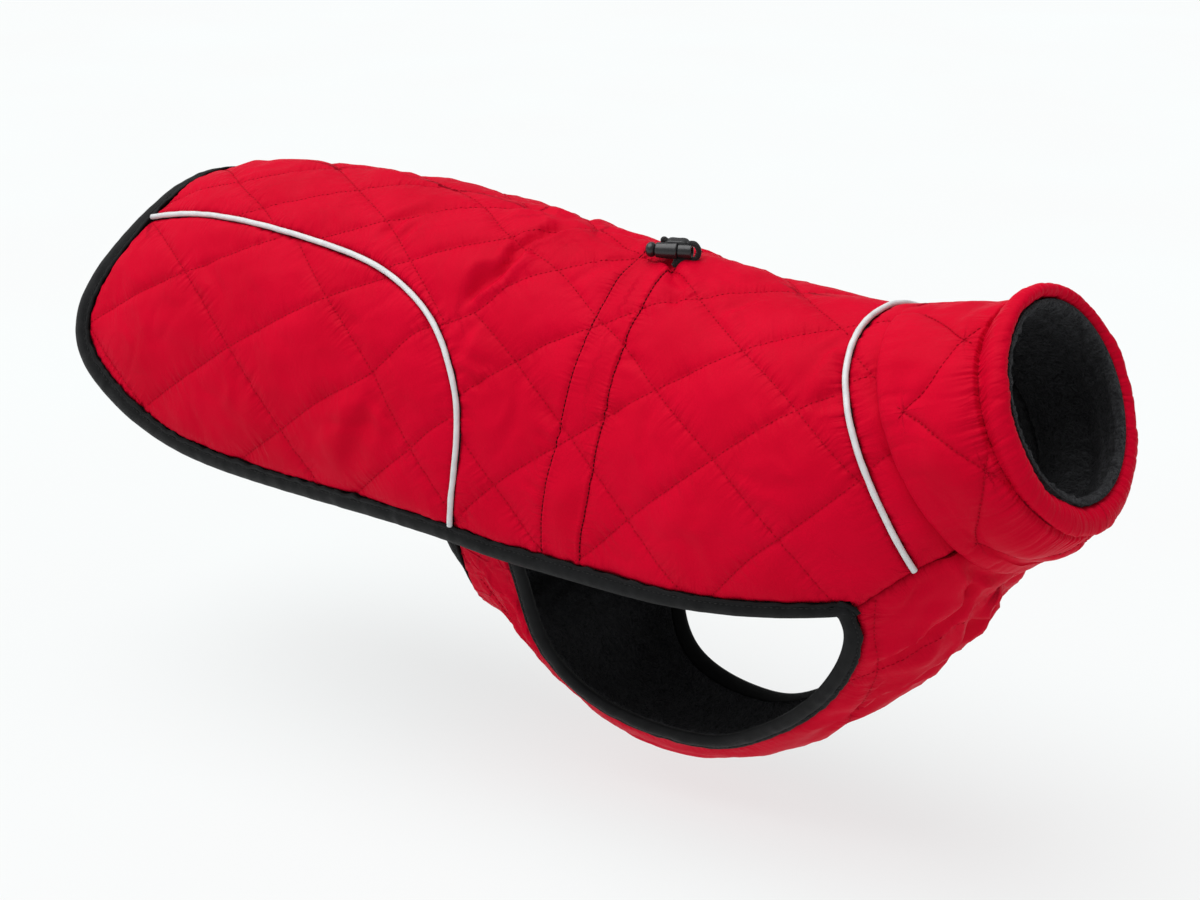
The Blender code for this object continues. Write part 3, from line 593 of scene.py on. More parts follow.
def inside(points, outline):
    """Which points lie inside a closed outline."""
    x, y = points[:, 0], points[:, 1]
    result = np.zeros(len(points), bool)
    for a, b in zip(outline, np.roll(outline, -1, axis=0)):
        spans = (a[1] > y) != (b[1] > y)
        with np.errstate(divide="ignore", invalid="ignore"):
            cross = (b[0] - a[0]) * (y - a[1]) / (b[1] - a[1]) + a[0]
        result ^= spans & (x < cross)
    return result


def thinned(points, gap):
    """The points with no two in the same square of side `gap`."""
    _, keep = np.unique(np.round(points / gap).astype(int), axis=0, return_index=True)
    return points[np.sort(keep)]


def cut_cloth(outline, cell, rows=(), gap=CLEAR_OF_OUTLINE):
    """Flat pattern piece as points and triangles, with corners along the given rows."""
    height = cell * ROW_HEIGHT
    low, high = outline.min(axis=0), outline.max(axis=0)
    columns = np.arange(np.floor(low[0] / cell) - 1, np.ceil(high[0] / cell) + 2)
    lines = np.arange(np.floor(low[1] / height) - 1, np.ceil(high[1] / height) + 2)
    grid_x, grid_y = np.meshgrid(columns, lines)
    lattice = np.stack([(grid_x + 0.5 * (grid_y % 2)) * cell, grid_y * height], -1).reshape(-1, 2)
    lattice = lattice[inside(lattice, outline)]
    fixed = outline
    if len(rows):
        rows = thinned(np.vstack(rows), gap)
        rows = rows[inside(rows, outline)]
        _, distance = nearest(rows, outline)
        fixed = np.vstack([outline, rows[distance > CLEAR_OF_OUTLINE]])
    _, distance = nearest(lattice, fixed)
    lattice = lattice[distance > cell * CLEAR_OF_CORNERS]
    points = [tuple(map(float, p)) for p in np.vstack([fixed, lattice])]
    result = delaunay_2d_cdt(points, [], [list(range(len(outline)))], 1, 1e-8)
    flat, faces = np.array([tuple(p) for p in result[0]]), np.array([tuple(f) for f in result[2]])
    a, b, c = (flat[faces[:, k]] for k in range(3))
    turn = (b[:, 0] - a[:, 0]) * (c[:, 1] - a[:, 1]) - (b[:, 1] - a[:, 1]) * (c[:, 0] - a[:, 0])
    faces[turn < 0] = faces[turn < 0][:, ::-1]
    return flat, faces


def mesh_object(name, vertices, faces, finish, cloth_uv=None, marks={}):
    """A smooth piece. cloth_uv is each corner's place on the cloth in metres. The marks are
    numbers for each corner: `groove` is how strongly painted shade darkens it in a stitched groove,
    a seam or under the collar's roll, from 0 to 1, `net` how strong the band's thin creases are,
    and for each row of puckers `near_` is their strength and `run_` the place along the row."""
    mesh = bpy.data.meshes.new(name)
    mesh.from_pydata(np.asarray(vertices).tolist(), [], [tuple(map(int, face)) for face in faces])
    mesh.update()
    if cloth_uv is not None:
        layer = mesh.uv_layers.new(name="cloth")
        corner = np.empty(len(mesh.loops), int)
        mesh.loops.foreach_get("vertex_index", corner)
        layer.data.foreach_set("uv", np.asarray(cloth_uv)[corner].astype(np.float32).ravel())
    for key, values in marks.items():
        layer = mesh.attributes.new(key, "FLOAT", "POINT")
        layer.data.foreach_set("value", np.asarray(values, np.float32))
    mesh.materials.append(finish)
    mesh.shade_smooth()
    made = bpy.data.objects.new(name, mesh)
    bpy.context.scene.collection.objects.link(made)
    return made


def wall(name, flat, triangles, surface, out, inner, finish, marks={}):
    """A pattern piece as a closed wall between two heights over a surface."""
    count = len(flat)
    if surface is chest_surface:
        triangles = triangles[:, ::-1]
    vertices = np.vstack([surface(flat, out), surface(flat, inner)])
    edges = np.vstack([triangles[:, [0, 1]], triangles[:, [1, 2]], triangles[:, [2, 0]]]).tolist()
    known = {(a, b) for a, b in edges}
    faces = triangles.tolist() + (triangles[:, ::-1] + count).tolist()
    faces += [(b, a, a + count, b + count) for a, b in edges if (b, a) not in known]
    marks = {key: np.concatenate([values, np.zeros(count)]) for key, values in marks.items()}
    return mesh_object(name, vertices, faces, finish, np.vstack([flat, flat]), marks)


def tube_faces(rows, around, first=0, closed=False):
    """Faces over rows of points from number `first` on, with flat ends or closed to a ring."""
    def corner(i, j):
        return first + i % rows * around + j % around

    faces = [(corner(i, j), corner(i, j + 1), corner(i + 1, j + 1), corner(i + 1, j))
             for i in range(rows if closed else rows - 1) for j in range(around)]
    if not closed:
        faces.append(tuple(corner(0, j) for j in reversed(range(around))))
        faces.append(tuple(corner(rows - 1, j) for j in range(around)))
    return faces


def sweep(name, sections, finish, closed=False, uv=None, marks={}):
    """A skin over sections of equally many points: a row of closed loops with flat ends, or with
    closed=True a ring of them. Seen along the way, the points run clockwise."""
    faces = tube_faces(*sections.shape[:2], closed=closed)
    return mesh_object(name, sections.reshape(-1, 3), faces, finish, uv, marks)


def even_angles(sides):
    return np.arange(sides) * 2 * pi / sides


def circles(first, second, sides):
    """Unit circles in the planes of two directions."""
    angles = even_angles(sides)[:, None]
    return np.cos(angles) * first[..., None, :] + np.sin(angles) * second[..., None, :]


Stitch = namedtuple("Stitch", "pitch length radius")        # in mm
QUILT_STITCH = Stitch(2.7, 1.6, 0.33)
CHEST_STITCH = Stitch(2.7, 1.9, 0.28)
CHANNEL_STITCH = Stitch(2.4, 2.0, 0.34)
TAPE_STITCH = Stitch(3.0, 2.2, 0.30)
COLLAR_STITCH = Stitch(2.7, 2.0, 0.30)


def stitched(name, lines, surface, height, stitch, finish):
    """A row of thread stitches along each line, each a short bead that dips in at both ends."""
    steps, sides = 4, 5
    pitch, length, radius = (size * MM for size in stitch)
    spots = []
    for line in lines:
        fine = resampled(line, run_length(surface(line)), pitch / 6)
        total = (len(fine) - 1) * pitch / 6
        for start in np.arange(pitch * 0.3, total - length, pitch):
            share = (start + np.linspace(0, length, steps)) / (pitch / 6)
            spots.append(np.stack([np.interp(share, np.arange(len(fine)), fine[:, k])
                                   for k in (0, 1)], -1))
    flat = np.array(spots).reshape(-1, 2)
    base = height(flat)
    centre = surface(flat, base)
    normal = unit(surface(flat, base + 0.001) - centre).reshape(-1, steps, 3)
    centre = centre.reshape(-1, steps, 3)
    side = np.cross(normal, unit(np.gradient(centre, axis=1)))
    arch = np.sin(np.linspace(0, pi, steps))
    centre = centre + normal * ((arch * 0.9 - 0.25) * radius)[None, :, None]
    width = radius * (0.35 + 0.65 * arch ** 0.5)
    vertices = centre[:, :, None] + circles(side, normal, sides) * width[None, :, None, None]
    faces = []
    for n in range(len(vertices)):
        faces += tube_faces(steps, sides, n * steps * sides)
    return mesh_object(name, vertices.reshape(-1, 3), faces, finish)


# ---------------------------------------------------------------- hiding the CAD parts and hanging the pieces
def told(slot, node, piece, *others):
    """Hides the CAD node that a piece replaces, and hangs all the pieces from the root body. The
    slot is not used.
    """
    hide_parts(node)
    for made in (piece, *others):
        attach(made, "root")


def sheet(piece, flat, triangles, surface, **more):
    """Works out the flat cut of a piece: its width round the body, length along it and area. The
    numbers are not kept.
    """
    place = surface(flat)
    a, b, c = (place[triangles[:, k]] for k in range(3))
    area = 0.5 * np.linalg.norm(np.cross(b - a, c - a), axis=1).sum()
    width = np.ptp(flat[:, 1])
    x = np.linspace(flat[:, 0].min(), flat[:, 0].max(), 60)
    middle = 0.5 * (flat[:, 1].min() + flat[:, 1].max())
    length = run_length(surface(np.stack([x, np.full(60, middle)], -1)))[-1]
    length = max(length, area / width * 1.02)


# ---------------------------------------------------------------- finishes
class Finish:
    """A material, its shader and the nodes before it."""

    def __init__(self, name, colour, roughness, specular=0.5, sheen=0.0, sheen_roughness=0.4):
        self.material = bpy.data.materials.new(name)
        self.material.use_nodes = True
        self.tree = self.material.node_tree
        self.shader = self.tree.nodes["Principled BSDF"]
        self.set("Base Color", (*colour, 1.0))
        self.set("Roughness", roughness)
        self.set("Specular IOR Level", specular)
        self.set("Sheen Weight", sheen)
        self.set("Sheen Roughness", sheen_roughness)

    def set(self, key, value):
        self.shader.inputs[key].default_value = value

    def lead(self, key, source):
        self.tree.links.new(source, self.shader.inputs[key])

    def node(self, kind, links=(), **values):
        """A node with its properties and inputs set, and links (input, source socket)."""
        made = self.tree.nodes.new("ShaderNode" + kind)
        for key, value in values.items():
            if hasattr(made, key):
                setattr(made, key, value)
            else:
                made.inputs[key.replace("_", " ")].default_value = value
        for target, source in links:
            self.tree.links.new(source, made.inputs[target])
        return made

    @cached_property
    def space(self):
        """The place in space, in metres."""
        return self.node("TexCoord").outputs["Object"]

    @cached_property
    def cloth(self):
        """The place on the cloth, in metres."""
        return self.node("UVMap", uv_map="cloth").outputs["UV"]

    def mark(self, name):
        return self.node("Attribute", attribute_name=name).outputs["Fac"]

    def noise(self, place, scale, detail=3.0, distortion=0.0, roughness=0.5):
        return self.node("TexNoise", [("Vector", place)], Scale=scale, Detail=detail,
                         Roughness=roughness, Distortion=distortion).outputs["Fac"]

    def bands(self, period, direction):
        """Threads across one direction of the cloth, a period apart."""
        return self.node("TexWave", [("Vector", self.cloth)], wave_type="BANDS", Distortion=0.0,
                         bands_direction=direction, Scale=2 * pi / (20 * period)).outputs["Fac"]

    def math(self, operation, first, second):
        """A Math node over two sockets or numbers."""
        made = self.node("Math", operation=operation)
        for socket, value in zip(made.inputs, (first, second)):
            if isinstance(value, (int, float)):
                socket.default_value = value
            else:
                self.tree.links.new(value, socket)
        return made.outputs[0]

    def weave(self, period_x, period_y):
        return self.math("MULTIPLY", self.bands(period_x, "X"), self.bands(period_y, "Y"))

    def span(self, value, low, high, to_low=0.0, to_high=1.0):
        """The value from one range to another."""
        return self.node("MapRange", [("Value", value)], From_Min=low, From_Max=high,
                         To_Min=to_low, To_Max=to_high).outputs["Result"]

    def blend(self, share, first, second):
        """Colour between two colours, by a share."""
        made = self.node("Mix", data_type="RGBA")
        self.tree.links.new(share, made.inputs["Factor"])
        for key, value in (("A", first), ("B", second)):
            socket = next(s for s in made.inputs if s.name == key and s.type == "RGBA")
            if isinstance(value, tuple):
                socket.default_value = (*value, 1.0)
            else:
                self.tree.links.new(value, socket)
        return next(s for s in made.outputs if s.type == "RGBA")

    def bump(self, height, distance, strength, below=None):
        made = self.node("Bump", [("Height", height)], Strength=strength, Distance=distance)
        if below is not None:
            self.tree.links.new(below, made.inputs["Normal"])
        return made.outputs["Normal"]


RED = (0.585, 0.0012, 0.0215)
RED_DEEP = (0.530, 0.0010, 0.0180)
# the darker red of random slubs in the yarn, and the red of painted shade in grooves, seams and
# under the collar
RED_SLUB_AND_SHADE = (0.300, 0.0010, 0.0095)
RED_THREAD = (0.40, 0.0009, 0.0138)
DEEP_RED_THREAD = (0.055, 0.0004, 0.0028)
PUCKER_ROWS = {"down": 250.0, "up": 250.0, "seam": 400.0, "edge": 300.0}    # puckers to a metre
NET_SCALES = (34.0, 52.0)       # the loose net of thin creases on the belly band


def puckers(finish):
    """Height of the fine puckers that run square to the seams, too small for the mesh."""
    sway = finish.math("MULTIPLY", finish.noise(finish.space, 70.0, 2.0), 0.006)
    total = None
    for row, count in PUCKER_ROWS.items():
        run, near = finish.mark("run_" + row), finish.mark("near_" + row)
        fold = finish.node("TexNoise", noise_dimensions="1D", Scale=count, Detail=1.5,
                           links=[("W", finish.math("ADD", run, sway))]).outputs["Fac"]
        height = finish.math("MULTIPLY", finish.span(fold, 0.32, 0.68), near)
        total = height if total is None else finish.math("ADD", total, height)
    net = finish.mark("net")
    for scale in NET_SCALES:
        level = finish.noise(finish.space, scale, 1.5, 0.5)
        off = finish.math("ABSOLUTE", finish.math("SUBTRACT", level, 0.5), 0.0)
        crease = finish.span(off, 0.0, 0.045, 1.0, 0.0)
        total = finish.math("ADD", total, finish.math("MULTIPLY", crease, net))
    return total


def red_satin():
    made = Finish("red_satin_polyester", RED, 0.54, 0.022, 0.06, 0.35)
    made.set("Sheen Tint", (0.95, 0.04, 0.13, 1.0))
    tone = made.span(made.noise(made.space, 24.0, 4.0), 0.35, 0.65)
    slub = made.span(made.noise(made.cloth, 900.0, 2.0), 0.3, 0.7, 0.0, 0.10)
    # painted shade: the groove mark darkens the red up to half way towards the shaded red, in
    # stitched grooves, at seams and under the collar's roll
    groove = made.span(made.mark("groove"), 0.0, 1.0, 0.0, 0.50)
    colour = made.blend(slub, made.blend(tone, RED, RED_DEEP), RED_SLUB_AND_SHADE)
    made.lead("Base Color", made.blend(groove, colour, RED_SLUB_AND_SHADE))
    made.lead("Roughness", made.span(made.noise(made.space, 60.0), 0.3, 0.7, 0.43, 0.56))
    normal = made.bump(made.weave(0.00042, 0.00042), 0.00006, 0.5)
    normal = made.bump(made.noise(made.space, 95.0, 4.0, 0.8), 0.0009, 0.30, normal)
    made.lead("Normal", made.bump(puckers(made), 0.0008, 1.0, normal))
    return made.material


def thread(name, colour, specular=0.06):
    made = Finish(name, colour, 0.6, specular)
    made.lead("Normal", made.bump(made.noise(made.space, 1500.0, 2.0), 0.0001, 0.5))
    return made.material


def black_fleece():
    made = Finish("black_curly_fleece", (0.016, 0.016, 0.0175), 0.95, 0.10, 0.65, 0.5)
    made.set("Sheen Tint", (0.13, 0.133, 0.14, 1.0))
    curl = made.noise(made.space, 260.0, 5.0, 3.2, 0.6)
    tuft = made.math("MULTIPLY", made.noise(made.space, 90.0, 3.0, 0.8), 1.2)
    made.lead("Base Color", made.blend(made.span(curl, 0.35, 0.70), (0.0090, 0.0090, 0.0100),
                                       (0.050, 0.051, 0.055)))
    made.lead("Normal", made.bump(made.math("ADD", curl, tuft), 0.0034, 1.0))
    return made.material


def woven(made, tone, dark, light, weave, weave_bump, grain, grain_depth):
    """A woven finish: a mottled tone, and the bump of its threads and of a finer grain."""
    share = made.span(made.noise(made.space, *tone), 0.3, 0.7)
    made.lead("Base Color", made.blend(share, dark, light))
    normal = made.bump(made.weave(*weave), *weave_bump)
    made.lead("Normal", made.bump(made.noise(made.space, *grain), grain_depth, 0.3, normal))
    return made.material


def black_tape():
    made = Finish("black_binding_tape", (0.0040, 0.0042, 0.0047), 0.58, 0.11, 0.03)
    return woven(made, (140.0, 4.0), (0.0032, 0.0034, 0.0038), (0.0062, 0.0065, 0.0071),
                 (0.00055, 0.00050), (0.00012, 0.8), (300.0, 3.0), 0.0004)


def grey_piping():
    made = Finish("silver_grey_piping", (0.56, 0.575, 0.585), 0.42, 0.5, 0.1)
    return woven(made, (180.0, 3.0), (0.60, 0.615, 0.63), (0.70, 0.715, 0.72),
                 (0.0004, 0.0004), (0.00008, 0.6), (350.0, 2.0), 0.0003)


def black_plastic():
    made = Finish("black_moulded_plastic", (0.0095, 0.0100, 0.0112), 0.30)
    made.lead("Roughness", made.span(made.noise(made.space, 500.0), 0.3, 0.7, 0.24, 0.36))
    made.lead("Normal", made.bump(made.noise(made.space, 1400.0), 0.00008, 0.4))
    return made.material


def black_cord():
    made = Finish("black_elastic_cord", (0.007, 0.007, 0.0078), 0.8, 0.3, 0.4)
    braid = made.math("MULTIPLY", made.bands(0.0009, "DIAGONAL"), made.bands(0.0008, "X"))
    made.lead("Normal", made.bump(braid, 0.0002, 0.9))
    return made.material


def pale_floor():
    made = Finish("pale_floor", (0.19, 0.20, 0.20), 0.95, 0.0)
    grain = made.span(made.noise(made.space, 3.0, 2.0), 0.3, 0.7, 0.19, 0.20)
    colour = made.node("CombineColor", [("Green", grain), ("Blue", grain)], Red=0.18)
    made.lead("Base Color", colour.outputs["Color"])
    # the floor glows, which fills in the coat's shadow on it and lights the coat from below
    made.set("Emission Color", (1.0, 1.0, 1.0, 1.0))
    made.set("Emission Strength", FLOOR_GLOW)
    return made.material


# ---------------------------------------------------------------- how the cloth lies
PUFF = 2.4 * MM             # how far the wadding swells between the stitch lines
PUFF_REACH = 10.0 * MM
STITCH_DEPTH = 0.6 * MM
GROOVE = (1.5 * MM, 1.3)    # a stitched groove's half width, and how sharp it is
GROOVE_SHADE_WIDTH = 1.0 * MM       # of the painted shade line along it
EDGE_REACH = 5.0 * MM
TROUGH_LEVEL = -1.9 * MM    # below this the troughs begin to level off
TROUGH_ROOM = 1.1 * MM      # and this is how much deeper they go
THINNEST = 1.2 * MM         # of the quilted cloth in a trough

Gather = namedtuple("Gather", "size reach length")      # small puckers beside a line, in mm
LINE_GATHER = Gather(0.85, 7.0, 15.0)
CHANNEL_GATHER = Gather(0.5, 6.0, 13.0)
EDGE_GATHER = Gather(1.2, 7.0, 14.0)
COLLAR_GATHER = Gather(0.14, 5.0, 18.0)


def gathers(distance, along, place, gather, seed, size=1.0):
    """Small puckers square to a stitch line, fading away from it."""
    fan = along + 0.45 * distance * waves(place, 0.03, seed + 7)
    strength = 0.55 + 0.45 * np.tanh(waves(along, 0.05, seed + 3))
    return (gather.size * size * strength * fading(distance, gather.reach * MM)
            * valleys(waves(fan, gather.length * MM, seed), 0.8))


def creased(place, creases, surface, seed, mirror):
    """Soft troughs at listed places, with a raised lip on their left and half of one on their
    right. On the left half of the coat they are moved and made weaker at random."""
    random = np.random.default_rng(seed)
    total = np.zeros(len(place))
    for depth, half_width, lip, points in creases:
        for side in (-1, 1):
            drift = random.normal(0, 0.0035, 2) if side == 1 else np.zeros(2)
            scale = random.uniform(0.7, 1.05) if side == 1 else 1.0
            line = mirror(seam_line(points) + drift, side)
            run = surface(line)
            reach = half_width * 4 * MM
            low, high = run.min(axis=0) - reach, run.max(axis=0) + reach
            near = np.flatnonzero(((place > low) & (place < high)).all(axis=1))
            if not len(near):
                continue
            distance, left, end, _ = Lines([line], surface, 0).measure(place[near])
            width = half_width * MM * (1 + 0.25 * waves(place[near], 0.02, seed + 11))
            fade = ramp(end, -0.001, 0.3 * run_length(run)[-1])
            trough = -depth * MM * bell(distance, width)
            over = distance * left * side
            lips = lip * MM * bell(over - 1.5 * width, width)
            lips += 0.5 * lip * MM * bell(over + 1.8 * width, width)
            total[near] += scale * fade * (trough + lips)
    return total


class Shell:
    """The quilted outer cloth of one panel: how far each place lies from the body's surface."""

    def __init__(self, surface, down, up, edges, seed, channel=(), creases=(), mirror=None,
                 puff=PUFF, groove=STITCH_DEPTH, soft=1.0, lift=lambda flat: 0.0,
                 sunk=lambda flat: 0.0, shade=lambda flat: 0.0):
        self.surface, self.seed, self.quilting = surface, seed, down + up
        self.families = [Lines(family, surface, seed + k) for k, family in enumerate((down, up))]
        self.edges = Lines([edges], surface, seed + 2)
        self.channel = Lines(channel, surface, seed + 3) if len(channel) else None
        self.creases, self.mirror, self.puff, self.groove = creases, mirror, puff, groove
        self.soft, self.lift, self.sunk, self.shade = soft, lift, sunk, shade

    def heights(self, flat):
        """The offset out, and the marks for the finish."""
        place, seed, marks = self.surface(flat), self.seed, {}
        # dark gathers painted shade: how much the cloth's colour is darkened where shade falls in
        # grooves and seams
        swell, height, dark = np.ones(len(flat)), np.zeros(len(flat)), np.zeros(len(flat))
        lively = 0.65 + 0.35 * np.tanh(1.4 * waves(place, 0.030, seed + 70))

        def pucker(row, strength, reach):
            """Marks a row of fine puckers beside the line last measured."""
            marks["run_" + row] = along
            marks["near_" + row] = strength * lively * fading(distance, reach * MM)

        for k, family in enumerate(self.families):
            distance, _, _, along = family.measure(place)
            pucker(("down", "up")[k], 1.0, 5.0)
            swell *= 1 - fading(distance, PUFF_REACH)
            height -= self.groove * bell(distance, *GROOVE)
            height += gathers(distance, along, place, LINE_GATHER, seed + 20 + k, MM)
            # painted shade along each stitched groove
            dark = np.maximum(dark, 0.24 * bell(distance, GROOVE_SHADE_WIDTH))
        if self.channel is not None:
            distance, side, _, along = self.channel.measure(place)
            pucker("seam", 0.8, 4.0)
            swell *= 1 - 0.45 * fading(distance, 3.0 * MM)
            signed = distance * side
            height -= 0.60 * MM * bell(distance, 0.75 * MM)
            height += (0.55 * MM * ramp(signed, 0.2 * MM, 1.0 * MM)
                       * ramp(signed, 3.4 * MM, 1.2 * MM))
            height += gathers(distance, along, place, CHANNEL_GATHER, seed + 30, MM)
            # painted shade along the channel's stitched trough
            dark = np.maximum(dark, bell(distance, 0.6 * MM))
        distance, _, _, along = self.edges.measure(place)
        pucker("edge", 1.1, 5.0)
        swell *= 1 - fading(distance, EDGE_REACH)
        height += gathers(distance, along, place, EDGE_GATHER, seed + 40, MM)
        height -= 1.0 * MM * bell(distance, 1.3 * MM)
        # painted shade along the panel's seamed edges
        dark = np.maximum(dark, 0.35 * bell(distance, GROOVE_SHADE_WIDTH))
        slack = self.soft * (0.4 + 0.6 * swell)
        patch = 0.5 + 0.5 * np.tanh(waves(place, 0.06, seed + 53))
        height += self.puff * swell
        height += slack * MM * layered(place, seed + 50, (0.50, 0.055), (0.32, 0.022),
                                       (0.08, 0.009))
        height += slack * patch * 0.75 * MM * valleys(waves(place, 0.040, seed + 54), 0.3)
        if self.creases:
            height += creased(place, self.creases, self.surface, seed + 60, self.mirror)
        height += self.lift(flat)
        # the groove mark carries this painted shade, with any painted shade the panel adds by
        # `shade`, to the finish
        marks["groove"] = np.maximum(dark, self.shade(flat))
        height -= 0.2 * MM
        level = TROUGH_LEVEL - self.sunk(flat)
        below = np.maximum(level - height, 0)
        deep = level - TROUGH_ROOM * np.tanh(below / TROUGH_ROOM)
        return np.where(below > 0, deep, height), marks

    def height(self, flat):
        return self.heights(flat)[0]


def rows_along(lines, *offsets):
    """Rows of corners on and beside each line, at offsets in mm."""
    return [moved(line, offset * MM) if offset else line for line in lines for offset in offsets]


def clipped(line, outline, room=0.0012):
    """The longest stretch of a line inside an outline."""
    keep = inside(line, outline)
    _, distance = nearest(line, outline)
    keep &= distance > room
    best, start = (0, 0), None
    for k, good in enumerate(np.append(keep, False)):
        if good and start is None:
            start = k
        if not good and start is not None:
            if k - start > best[1] - best[0]:
                best = (start, k)
            start = None
    return line[best[0]:best[1]]


def all_clipped(lines, outline):
    """The stretches of the lines inside an outline, without the shortest."""
    return [line for line in (clipped(l, outline) for l in lines) if len(line) > 4]


# ---------------------------------------------------------------- the panels
BACK_CELL = 2.4 * MM
YOKE_CELL = 2.6 * MM
CHEST_CELL = 2.5 * MM
BACK_LINING_CELL = 3.4 * MM
CHEST_LINING_CELL = 2.6 * MM
PIPE_GAP = PIPING_RADIUS * 0.75
SIDES = ((1, "left"), (-1, "right"))


def hem_width(hem):
    return np.interp(hem[:, 0], *np.array(HEM_WIDTHS).T / 1000)


def coat_lines():
    """The edges and seams that the pieces share, as lines on the flat pattern."""
    hem, tail, neck = seam_line(HEM), seam_line(TAIL_PIPING), seam_line(NECK_PIPING)
    shoulder = seam_line(SHOULDER_SEAM)
    cut = extended(cut_from_spine(moved(hem, -(hem_width(hem) + BINDING_GAP))))
    return {"hem": hem, "tail_piping": tail, "neck_piping": neck,
            "hem_cut": np.vstack([cut[:-1], np.array(HEM_CORNER) / 1000]),
            "tail_inner": extended(moved(tail, -PIPE_GAP)),
            "tail_outer": extended(moved(tail, PIPE_GAP)),
            "neck_rear": cut_from_spine(moved(neck, PIPE_GAP)),
            "neck_front": cut_from_spine(moved(neck, -PIPE_GAP)),
            "shoulder_upper": extended(moved(shoulder, -SHOULDER_GAP / 2)),
            "shoulder_lower": extended(moved(shoulder, SHOULDER_GAP / 2))}


def back_mirror(line, side):
    """A line of the tables on one side of the back."""
    return line * (1, side)


def chest_mirror(line, side):
    """A line of the tables on one side of the belly panel."""
    return to_keel(line) * (1, side)


def halves(lines, mirror=back_mirror):
    """Each line of one half, on both halves of the coat."""
    return [mirror(seam_line(points), side) for points in lines for side in (-1, 1)]


def quilted(panel, node, flat, triangles, shell, *pieces):
    """Hides the CAD node of a quilted panel, hangs it and its rows of stitches from the root body,
    and measures its flat cut.
    """
    told("quilted_polyester", node, panel, *pieces)
    sheet(panel, flat, triangles, shell.surface, with_pieces=list(pieces))


def quilted_wall(name, flat, triangles, shell, out, marks, red):
    """A quilted panel's cloth between its outer height and its inner face."""
    inner = np.minimum(-PANEL, out - THINNEST)
    return wall(name, flat, triangles, shell.surface, out, inner, red, marks)


def make_panel(name, node, outline, shell, red, sewing, cell=BACK_CELL, channel=(),
               channel_sewing=None):
    """A panel of the back with its stitches, and those of the channel that crosses it."""
    quilting = all_clipped(shell.quilting, outline)
    rows, gap = rows_along(quilting, 0, 1.3, -1.3), 0.9 * MM
    if channel:
        rows, gap = rows_along(channel, 0, 0.8, -0.8, 1.7, 2.6, 3.6) + rows, 0.60 * MM
    flat, triangles = cut_cloth(outline, cell, rows, gap)
    panel = quilted_wall(name, flat, triangles, shell, *shell.heights(flat), red)
    pieces = [stitched(name + "_quilting", quilting, shell.surface, shell.height, QUILT_STITCH,
                       sewing)]
    if channel:
        pieces.append(stitched(name + "_channel_stitches", all_clipped(channel, outline),
                               shell.surface, lambda spots: shell.height(spots) + 0.25 * MM,
                               CHANNEL_STITCH, channel_sewing))
    quilted(panel, node, flat, triangles, shell, *pieces)


def yoke_lift(flat):
    """The yoke dips under the collar's roll, least on the spine."""
    return (-2.6 * MM * ramp(COLLAR_X - flat[:, 0], 12 * MM, 3 * MM)
            * (1 - 0.8 * bell(flat[:, 1], 0.035)))


def back_panels(lines, red, sewing, fleece):
    neck_rear = extended(lines["neck_rear"])[1:][::-1]
    neck_front = extended(lines["neck_front"])[1:]
    hem_cut, shoulder = lines["hem_cut"][1:], lines["shoulder_upper"]
    neck_edge = np.array([(COLLAR_X, v) for v in np.arange(0.17, -0.0001, -FINE_STEP)])
    neck_edge[-1, 1] = 0.0
    channel = [both_sides(seam_line(CHANNEL[edge])) for edge in ("rear", "front")]
    channel[0] = channel[0][::-1]       # so that the channel lies on the left of both its edges

    centre = joined(hem_cut, lines["tail_inner"], hem_cut[len(hem_cut) // 2:], shoulder, neck_rear)
    outline = mirrored_outline(centre)[::-1]
    shell = Shell(back_surface, halves(DOWN_LINES["centre"]), halves(UP_LINES["centre"]),
                  closed_line(outline), 100, channel, BACK_CREASES, back_mirror)
    make_panel("back_centre_cloth", "back_centre_panel", outline, shell, red, sewing,
               channel=channel, channel_sewing=thread("deep_red_thread", DEEP_RED_THREAD))

    tail_run = lines["tail_outer"]
    start, i, j = crossing(hem_cut, tail_run)
    end, m, n = crossing(hem_cut[i + 3:], tail_run[::-1])
    half = np.vstack([start, hem_cut[i + 1:i + 4 + m], end,
                      tail_run[::-1][n + 1:len(tail_run) - 1 - j]])
    for side, word in SIDES:
        outline = half * (1, side)
        down, up = ([line for line in halves(table["side"]) if line[-1, 1] * side > 0]
                    for table in (DOWN_LINES, UP_LINES))
        shell = Shell(back_surface, down, up, closed_line(outline), 200 + side, (), BACK_CREASES,
                      back_mirror)
        make_panel("rear_side_cloth_" + word, "rear_side_panel_" + word, outline, shell, red,
                   sewing)

    outline = mirrored_outline(joined(neck_front, shoulder, neck_edge))
    covered = outline[:, 0] > COLLAR_X - 0.1 * MM       # this edge lies under the collar's roll
    last = np.flatnonzero(covered & ~np.roll(covered, -1))[0]
    edges = np.roll(outline, -(last + 1), axis=0)[:np.count_nonzero(~covered)]
    # painted shade: the yoke's colour darkens in a band a few mm behind the collar's roll, where
    # the roll shades it
    shell = Shell(back_surface, halves(DOWN_LINES["yoke"]), halves(UP_LINES["yoke"]), edges, 300,
                  lift=yoke_lift, shade=lambda flat: bell(COLLAR_X - flat[:, 0], 4.2 * MM, 4))
    make_panel("neck_yoke_cloth", "neck_yoke", outline, shell, red, sewing, YOKE_CELL)

    outline = mirrored_outline(joined(hem_cut, shoulder, neck_edge))
    make_lining("back_fleece", "back_lining", outline, back_surface, BACK_LINING_CELL, fleece, 400)


